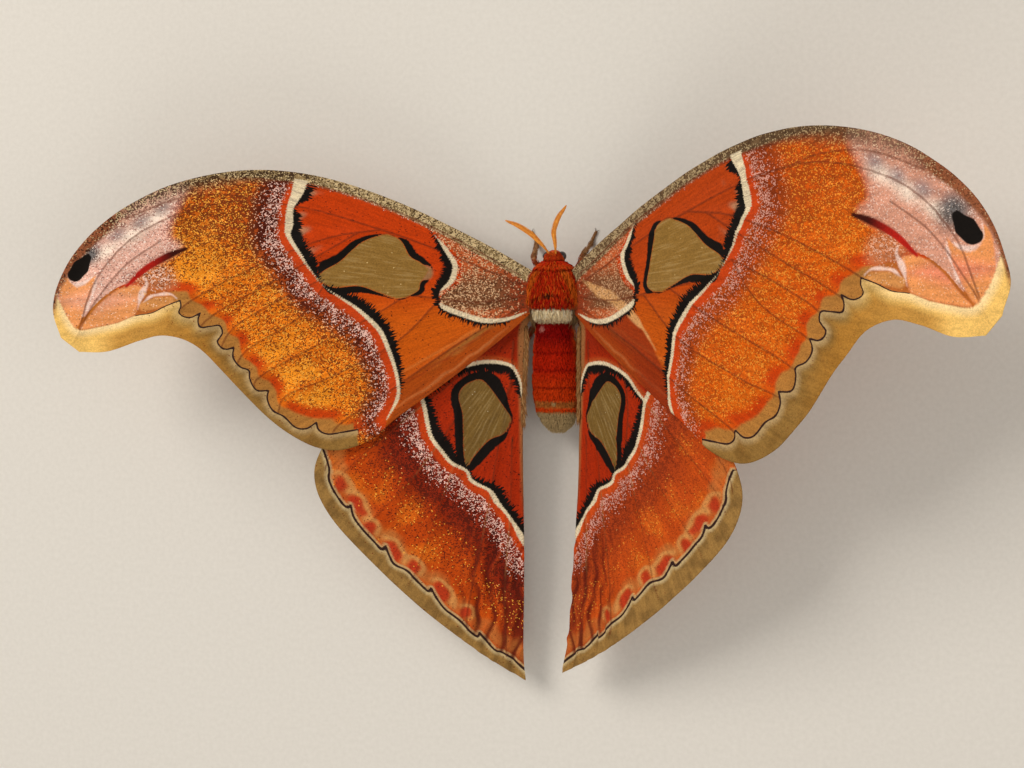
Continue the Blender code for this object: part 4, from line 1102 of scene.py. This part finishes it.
closing.mode = "VOXEL"
closing.voxel_size = SKIN_GRAIN * MM
closing.use_smooth_shade = True
bpy.context.view_layer.update()
closed = bpy.data.meshes.new_from_object(skin.evaluated_get(bpy.context.evaluated_depsgraph_get()))
skin.modifiers.clear()
skin.data = closed
if not closed.materials:
    closed.materials.append(chitin.material)
spots = (np.array([corner.co for corner in closed.vertices]) - np.array(datum)) / MM
half_width, centre, half_height = body_at(spots[:, 1])
across, up = spots[:, 0] / half_width, (spots[:, 2] - centre) / half_height
on_leg = fade(np.hypot(across, up), 1.08, 1.2)
paint = wash(coat_colours(spots[:, 1], np.arctan2(across, up)), LEG_TAN, on_leg)
store(closed, "markings", np.c_[paint, on_leg])
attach(skin, "root")
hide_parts("head", "thorax", "abdomen", *(f"{leg}_{side}" for leg in LEG_PATHS for side in SIDES))


# The coat.
# Long silky hair on the thorax, a dense collar, a pale fringe behind, and short flat scales and hair on
# head, abdomen and legs. Each tuft is a thin tapering blade rooted in the skin.
STRAND_GRAINS, STRAND_SHADE, FULL_SHADE = 3500, (0.8, 0.8, 0.8), (1.0, 1.0, 1.0)
fur = Finish("coat", Roughness=0.7, Specular_IOR_Level=0.06)
streaked = mottled(fur, STRAND_GRAINS, STRAND_SHADE, FULL_SHADE)["Color"]
fur.join(fur.lay(1.0, fur.read("markings"), streaked, "MULTIPLY"), "Base Color")
BLADE_RINGS = (0.0, 0.35, 0.7)  # along a tuft, before its tip
BLADE_WIDTHS = (0.75, 1.0, 0.62)
BLADE_FLATNESS = 0.4
BLADE_CORNERS = 10
ROOT_DEPTH = 0.25  # how far a tuft starts under the skin, in mm
PATCH_SIZE = 0.003  # of a tuft in the unwrapped coat, whose side is 1


def coat(name, roots, outward, lie, lengths, widths, lifts, colours, unwrap, slot):
    """One piece of coat from arrays: a three-sided tapering blade at each root, in mm."""
    count = len(roots)
    lie = lie - outward * np.sum(lie * outward, 1, keepdims=True)
    lie /= np.linalg.norm(lie, axis=1, keepdims=True)
    across = np.cross(lie, outward)
    corners, root_shade_tip_highlight, patches = [], [], []
    for t, width in zip(BLADE_RINGS, BLADE_WIDTHS):
        rise = lifts * math.sin(math.pi * min(1, t * 0.9 + 0.02)) - (ROOT_DEPTH if t == 0 else 0)
        centre = roots + lie * (lengths * t)[:, None] + outward * rise[:, None]
        for corner in range(3):
            turn = 2 * math.pi * corner / 3 + math.pi / 2
            corners.append(
                centre + across * (widths / 2 * width * math.cos(turn))[:, None]
                + outward * (widths / 2 * width * BLADE_FLATNESS * math.sin(turn))[:, None]
            )
            # Painted shade darkens each tuft toward its root, and a painted highlight lightens its tip.
            root_shade_tip_highlight.append(0.62 + 0.5 * t)
            patches.append((0.5 + 0.5 * math.cos(turn), t))
    tip = lifts * math.sin(math.pi * 0.92)
    corners.append(roots + lie * lengths[:, None] + outward * tip[:, None])
    root_shade_tip_highlight.append(1.15)
    patches.append((0.5, 1.0))
    corners = np.stack(corners, 1)
    corners[..., 2] = np.maximum(corners[..., 2], FLOOR_GAP)
    faces = [(0, 1, 2)]
    for ring in (0, 3):
        faces += [(ring + k, ring + 3 + k, ring + 3 + (k + 1) % 3, ring + (k + 1) % 3) for k in range(3)]
    faces += [(6 + k, 9, 6 + (k + 1) % 3) for k in range(3)]
    mesh = bpy.data.meshes.new(name)
    mesh.vertices.add(count * BLADE_CORNERS)
    mesh.vertices.foreach_set("co", (corners * MM + np.array(datum)).ravel())
    every = (np.concatenate(faces)[None] + np.arange(count)[:, None] * BLADE_CORNERS).ravel()
    mesh.loops.add(len(every))
    mesh.loops.foreach_set("vertex_index", every)
    totals = np.tile([len(face) for face in faces], count)
    mesh.polygons.add(len(totals))
    mesh.polygons.foreach_set("loop_start", np.r_[0, np.cumsum(totals)[:-1]])
    mesh.polygons.foreach_set("loop_total", totals)
    mesh.update()
    mesh.validate()
    paint = np.clip(colours[:, None, :] * np.array(root_shade_tip_highlight)[None, :, None], 0, 1)
    store(mesh, "markings", np.concatenate([paint, np.ones((count, BLADE_CORNERS, 1))], 2))
    patch = unwrap[:, None, :] + (np.array(patches)[None] - 0.5) * PATCH_SIZE
    layer = mesh.uv_layers.new(name="OFBake")
    layer.data.foreach_set("uv", patch.reshape(-1, 2)[every].ravel())
    mesh.shade_smooth()
    mesh.materials.append(fur.material)
    piece = bpy.data.objects.new(name, mesh)
    bpy.context.scene.collection.objects.link(piece)
    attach(piece, "root")


def skin_roots(forward, angle):
    """Places on the skin, in mm, and in the unwrapped coat."""
    half_width, centre, half_height = body_at(forward)
    roots = np.stack([half_width * np.sin(angle), forward, centre + half_height * np.cos(angle)], 1)
    return roots, np.c_[0.5 + 0.46 * angle / math.pi, 0.03 + 0.94 * (forward + 34) / 44]


def body_coat(
    name, front, back, count, seed, length, width, lift, slot,
    spread=math.pi, tint=None, out=0.25, ruffle=1.0, flare=0, uneven=0.27,
):
    """Tufts over a length of the body, lying back and a little outward."""
    draw = np.random.default_rng(seed)
    forward = draw.uniform(back, front, count)
    angle = draw.uniform(-spread, spread, count)
    roots, unwrap = skin_roots(forward, angle)
    half_width, _, half_height = body_at(forward)
    outward = np.stack([np.sin(angle) / half_width, np.zeros(count), np.cos(angle) / half_height], 1)
    outward /= np.linalg.norm(outward, axis=1, keepdims=True)
    step = 0.3
    behind = body_at(forward - step)
    widen, rise = (behind[0] - half_width) / step, (behind[2] - half_height) / step
    sway = clouds(np.c_[angle * 4, forward], 2.2, seed) - 0.5
    loose = draw.normal(0, 0.16, count) + 0.9 * sway * np.cos(angle)
    lie_out = np.sin(angle) * (out + widen) + ruffle * loose
    lie = np.stack([lie_out, -np.ones(count), rise * np.cos(angle)], 1)
    lengths = length * draw.uniform(0.7, 1.25, count)
    widths = width * draw.uniform(0.7, 1.3, count)
    lifts = lift * draw.uniform(0.3, 1.5, count) * (1 + flare * np.abs(np.sin(angle)))
    colours = coat_colours(forward - 0.5 * lengths, angle) * draw.uniform(1 - uneven, 1 + uneven, (count, 1))
    if tint is not None:
        colours = wash(colours, tint, draw.uniform(0, 1, count) ** 5)
    coat(name, roots, outward, lie, lengths, widths, lifts, colours, unwrap, slot)


SILVER_CREAM = (0.85, 0.78, 0.6)
SMOOTH = {"ruffle": 0.35, "flare": 1.1, "uneven": 0.1}
# Each: its two ends, how many tufts, the seed, and a tuft's length, width and lift.
body_coat("coat_head", 9.3, 6.6, 2400, 31, 0.9, 0.22, 0.4, "head_fur", tint=TEGULA_ORANGE)
body_coat("coat_brow", 9.1, 7.0, 1100, 37, 1.6, 0.2, 0.4, "head_fur", spread=1.3, tint=TEGULA_ORANGE, out=2.6)
body_coat("coat_collar", 7.0, 5.3, 2600, 32, 1.5, 0.26, 1.0, "thorax_fur", tint=TEGULA_ORANGE, out=1.7)
body_coat("coat_thorax", 5.2, -2.7, 9500, 33, 2.3, 0.25, 0.85, "thorax_fur", tint=TEGULA_ORANGE, flare=0.7)
body_coat("coat_fringe", -3.8, -5.2, 1700, 34, 2.4, 0.22, 0.8, "thorax_fur", spread=1.0, tint=SILVER_CREAM)
body_coat("coat_abdomen_front", -5.6, -20.0, 11500, 35, 1.1, 0.24, 0.24, "abdomen_fur", **SMOOTH)
body_coat("coat_abdomen_back", -20.0, -33.0, 10500, 36, 1.05, 0.24, 0.24, "abdomen_fur", **SMOOTH)

HEM_DARK, HEM_PALE, BRUSH_DARK = (0.28, 0.11, 0.032), (0.52, 0.30, 0.12), (0.06, 0.03, 0.018)
HEM_TUFTS, BRUSH_TUFTS, LEG_TUFTS = 620, 420, 520
HEM_SIZES = (2.2, 0.17, 0.22)  # length, width and lift of a tuft
BRUSH_WIDTH, LEG_TUFT_WIDTH = 0.2, 0.16


def blend(dark, pale, share):
    return np.array(dark) + (np.array(pale) - dark) * share


def wing_hair(side):
    """Long loose hair lying back from the strip of the hindwing beside the body."""
    draw = np.random.default_rng(41)
    count, surface = HEM_TUFTS, np.full(HEM_TUFTS, MEMBRANE / 2)
    plan = np.c_[draw.uniform(-0.3, 0.5, count), draw.uniform(-30, -8, count)]
    roots = wing_place("hindwing", side, plan, surface)
    ahead = wing_place("hindwing", side, plan - np.array([0.25, 1.0]), surface)
    above = wing_place("hindwing", side, plan, surface + 1)
    lie = (ahead - roots) / MM + draw.normal(0, 0.1, (count, 3))
    roots = (roots - np.array(datum)) / MM
    outward = (above - np.array(datum)) / MM - roots
    shade = draw.uniform(0.7, 1.3, (count, 1))
    colours = blend(HEM_DARK, HEM_PALE, draw.uniform(0, 1, (count, 1)) ** 2) * shade
    unwrap = np.c_[0.5 + 0.45 * (plan[:, 0] / 50), 0.98 + plan[:, 1] / 100]
    sizes = [size * draw.uniform(0.7, 1.3, count) for size in HEM_SIZES]
    coat(f"coat_hem_{side}", roots, outward, lie, *sizes, colours, unwrap, "wing_scales")


def brush_coat(side, sign):
    """A brush of dark hair where the wings meet the thorax."""
    draw = np.random.default_rng(43)
    count = BRUSH_TUFTS
    forward = draw.uniform(-5.4, -1.5, count)
    turn = sign * draw.uniform(1.0, 1.6, count)
    roots, unwrap = skin_roots(forward, turn)
    outward = np.stack([np.sin(turn), np.zeros(count), np.cos(turn)], 1)
    lie = np.c_[sign * draw.uniform(0.0, 0.45, count), -np.ones(count), draw.uniform(-0.05, 0.2, count)]
    colours = blend(BRUSH_DARK, HEM_PALE, draw.uniform(0, 0.7, (count, 1)))
    lengths, widths = draw.uniform(2.5, 4.6, count), np.full(count, BRUSH_WIDTH)
    lifts = draw.uniform(0.5, 1.3, count)
    colours = colours * draw.uniform(0.6, 1.2, (count, 1))
    coat(f"coat_brush_{side}", roots, outward, lie, lengths, widths, lifts, colours, unwrap, "thorax_fur")


for side, sign in SIDES.items():
    wing_hair(side)
    brush_coat(side, sign)

leg_draw = np.random.default_rng(44)
leg_parts = []
for number, (sign, path) in enumerate((sign, path) for sign in SIDES.values() for path in LEG_PATHS.values()):
    count = LEG_TUFTS
    line = leg_line(sign, path)
    share = leg_draw.uniform(0.03, 0.97, count)
    centre = evenly(line, share)
    along = evenly(line, np.minimum(1, share + 0.03)) - centre
    along /= np.linalg.norm(along, axis=1, keepdims=True)
    aside = np.cross(along, (0, 0, 1.0))
    aside /= np.linalg.norm(aside, axis=1, keepdims=True)
    turn = leg_draw.uniform(-math.pi, math.pi, count)[:, None]
    outward = aside * np.sin(turn) + np.cross(aside, along) * np.cos(turn)
    radius = np.interp(share, np.linspace(0, 1, len(LEG_RADII)), LEG_RADII)
    roots = centre + outward * radius[:, None] * 0.9
    paint = wash(even(ABDOMEN_ORANGE, count), LEG_TAN, fade(share, 0.25, 0.5))
    unwrap = np.c_[(number + 0.1 + 0.8 * (turn[:, 0] / math.pi + 1) / 2) / 6, 0.02 + 0.96 * share]
    lengths = np.interp(share, (0, 0.3, 0.6, 1), (1.3, 1.2, 0.8, 0.35))
    lifts = np.minimum(0.35, np.maximum(0.02, (roots[:, 2] - 0.1) * 0.4))
    leg_parts.append((roots, outward, along, lengths, np.full(count, LEG_TUFT_WIDTH), lifts, paint, unwrap))
coat("coat_legs", *(np.concatenate(column) for column in zip(*leg_parts)), "leg_fur")


# The claws and spurs.
# A pair of small dark horny hooks at the end of every leg, and two slim spurs on the shin of each hind leg.
HORN_DARK, HORN_BROWN, HORN_GRAINS = (0.035, 0.012, 0.006), (0.10, 0.035, 0.012), 4000
CLAW_CURVE = (0.0, 0.0), (0.3, 0.1), (0.55, 0.02), (0.72, -0.14)  # reach and lift, in mm
CLAW_RADII, SPUR_RADII = (0.09, 0.08, 0.055, 0.015), (0.11, 0.08, 0.02)
SPUR_REACHES = (0, 0.8, 1.5)
SPUR_PLACE = 0.62  # along the leg
CLAW_GAP = 0.03  # above the floor, in mm
claw_finish = Finish("claw_horn", Roughness=0.35)
claw_finish.join(mottled(claw_finish, HORN_GRAINS, HORN_DARK, HORN_BROWN)["Color"], "Base Color")
claw_shape = bmesh.new()
for sign in SIDES.values():
    for leg, path in LEG_PATHS.items():
        line = leg_line(sign, path)
        heading = (line[-1] - line[-3]) / np.linalg.norm(line[-1] - line[-3])
        aside = np.array([-heading[1], heading[0], 0])
        for way in (-1, 1):
            root = line[-1] - heading * 0.2
            bend = [
                root + heading * reach + aside * way * 0.9 * reach + np.array([0, 0, lift])
                for reach, lift in CLAW_CURVE
            ]
            tube(claw_shape, bend, CLAW_RADII, 6)
            if leg == "hindleg":
                shin = line[int(len(line) * SPUR_PLACE)] + np.array([sign * 0.1 * way, 0, 0.1])
                tube(claw_shape, [shin + heading * reach for reach in SPUR_REACHES], SPUR_RADII, 6)
for corner in claw_shape.verts:
    corner.co.z = max(corner.co.z, CLAW_GAP)
bmesh.ops.recalc_face_normals(claw_shape, faces=claw_shape.faces)
claws = settle(claw_shape, "claws", claw_finish)
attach(claws, "root")


# The eyes.
# Two dark faceted globes at the sides of the head, half sunk in its hair.
EYE_RADIUS = 1.12
FACETS, FACET_DEPTH = 9000.0, 0.00002  # facets a metre, and their depth in metres
FACET_BROWN, FACET_BLACK = (0.035, 0.014, 0.008), (0.008, 0.004, 0.003)
lens_finish = Finish("eye_lens", Base_Color=(0.02, 0.009, 0.006, 1), Roughness=0.18, Coat_Weight=0.4)
eye_place = lens_finish.add("TexCoord").outputs["Object"]
facets = lens_finish.add("TexVoronoi", eye_place, FACETS).outputs["Distance"]
lens_finish.join(lens_finish.lay(facets, FACET_BROWN, FACET_BLACK), "Base Color")
lens_finish.bump(facets, FACET_DEPTH, 0.4)
for side, sign in SIDES.items():
    ball = bmesh.new()
    bmesh.ops.create_uvsphere(
        ball, u_segments=40, v_segments=24, radius=EYE_RADIUS,
        matrix=Matrix.Translation(Vector((sign * EYE_PLACE[0], EYE_PLACE[1], EYE_PLACE[2]))),
    )
    eye = settle(ball, f"eye_{side}_globe", lens_finish)
    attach(eye, "root")
    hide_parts("eye_" + side)


# The antennae.
# Each is a slim horny shaft with a comb of fine teeth on both sides, narrow in a female and half folded.
ANTENNA_PATHS = {
    "left": ((0.8, 8.5, 11.7), (2.0, 10.3, 12.8), (4.6, 12.9, 13.3), (7.8, 15.0, 13.3), (11.2, 16.4, 12.8)),
    "right": ((0.8, 8.5, 11.7), (0.9, 10.5, 12.8), (0.8, 13.4, 13.4), (1.7, 16.6, 13.4), (3.6, 19.8, 12.8)),
}
SHAFT_RADII = (0, 0.2, 0.7, 1), (0.24, 0.26, 0.17, 0.06)  # by share of its length
COMB_TEETH, COMB_REACH, COMB_FOLD = 44, 1.5, math.radians(25)
TOOTH_RADII = (0.10, 0.075, 0.03)
COMB_ORANGE, COMB_GOLD, COMB_GRAINS = (0.55, 0.16, 0.010), (0.80, 0.32, 0.03), 1500
comb_finish = Finish("antenna_comb", Roughness=0.55, Specular_IOR_Level=0.4)
comb_finish.join(mottled(comb_finish, COMB_GRAINS, COMB_ORANGE, COMB_GOLD)["Color"], "Base Color")
for side, sign in SIDES.items():
    line = smooth_line([(sign * x, y, z) for x, y, z in ANTENNA_PATHS[side]], 10)
    shape = bmesh.new()
    tube(shape, line, np.interp(np.linspace(0, 1, len(line)), *SHAFT_RADII))
    for count in range(COMB_TEETH):
        t = 0.08 + 0.9 * count / (COMB_TEETH - 1)
        root = Vector(evenly(line, [t])[0])
        along = Vector(evenly(line, [min(1, t + 0.01)])[0] - evenly(line, [t - 0.02])[0]).normalized()
        across = along.cross(Vector((0, 0, 1))).normalized()
        length = COMB_REACH * math.sin(math.pi * min(t, 0.99) ** 0.8) ** 0.7 + 0.06
        for way in (-1, 1):
            reach = along * math.cos(COMB_FOLD) + across * way * math.sin(COMB_FOLD)
            curve = along * (0.12 * length) - Vector((0, 0, 0.10 * length))
            path = [root, root + reach * length * 0.55, root + reach * length + curve]
            tube(shape, [np.array(point) for point in path], TOOTH_RADII, 4)
    bmesh.ops.recalc_face_normals(shape, faces=shape.faces)
    antenna = settle(shape, f"antenna_{side}_comb", comb_finish)
    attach(antenna, "root")
    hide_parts("antenna_" + side)


# Floor, light and camera.
# A plain pale floor under the moth, one broad soft light over it and two fainter ones, and the camera
# almost straight above, leaning to the moth's right.
FLOOR_REACH = 3  # from its middle to each side, in metres
PAPER, PAPER_DARK, PAPER_PALE = (0.70, 0.67, 0.62, 1), (0.68, 0.65, 0.60), (0.72, 0.69, 0.64)
PAPER_GRAINS = 900
floor_shape = bmesh.new()
bmesh.ops.create_grid(floor_shape, x_segments=1, y_segments=1, size=FLOOR_REACH)
floor_mesh = bpy.data.meshes.new("floor")
floor_shape.to_mesh(floor_mesh)
floor_shape.free()
floor = bpy.data.objects.new("floor", floor_mesh)
paper = Finish("pale_paper", Base_Color=PAPER, Roughness=0.85)
paper.join(mottled(paper, PAPER_GRAINS, PAPER_DARK, PAPER_PALE)["Color"], "Base Color")
floor_mesh.materials.append(paper.material)
bpy.context.scene.collection.objects.link(floor)

LAMPS = (  # name, watts, width, and place from the hinges' middle in metres
    ("key", 10.5, 0.6, (-0.7, 0.6, 0.8)),
    ("fill", 3.0, 0.9, (0.75, -0.2, 0.7)),
    ("back", 2.2, 0.6, (0.0, -0.9, 0.6)),
)
LAMP_COLOUR, STUDIO_COLOUR, STUDIO_STRENGTH = (1.0, 0.95, 0.88), (1.0, 0.96, 0.90, 1), 0.35
middle = datum + Vector((0, 0, HINGE_UP)) * MM
for name, watts, size, offset in LAMPS:
    lamp = bpy.data.lights.new(name, "AREA")
    lamp.energy = watts
    lamp.size = size
    lamp.color = LAMP_COLOUR
    light = bpy.data.objects.new(name, lamp)
    light.location = middle + Vector(offset)
    light.rotation_euler = (-Vector(offset)).to_track_quat("-Z", "Y").to_euler()
    bpy.context.scene.collection.objects.link(light)
world = bpy.data.worlds.new("studio")
world.use_nodes = True
studio = world.node_tree.nodes["Background"].inputs
studio["Color"].default_value = STUDIO_COLOUR
studio["Strength"].default_value = STUDIO_STRENGTH
bpy.context.scene.world = world
bpy.context.scene.view_settings.view_transform = "Standard"

CAMERA_HEIGHT, CAMERA_LEAN = 0.42, math.radians(14)  # metres above the hinges
LENS, SENSOR = 63, 36  # mm
PICTURE_WIDTH, SHIFT_RIGHT, SHIFT_UP = 1024, -40, -94  # pixels
lens = bpy.data.cameras.new("camera")
lens.lens = LENS
lens.sensor_width = SENSOR
lens.shift_x = SHIFT_RIGHT / PICTURE_WIDTH
lens.shift_y = SHIFT_UP / PICTURE_WIDTH
lens.clip_start, lens.clip_end = 0.01, 20
camera = bpy.data.objects.new("camera", lens)
toward = Vector((math.sin(CAMERA_LEAN), 0, math.cos(CAMERA_LEAN)))
camera.location = middle + toward * CAMERA_HEIGHT
camera.rotation_euler = (0, CAMERA_LEAN, 0)
bpy.context.scene.collection.objects.link(camera)
bpy.context.scene.camera = camera

bpy.context.view_layer.update()
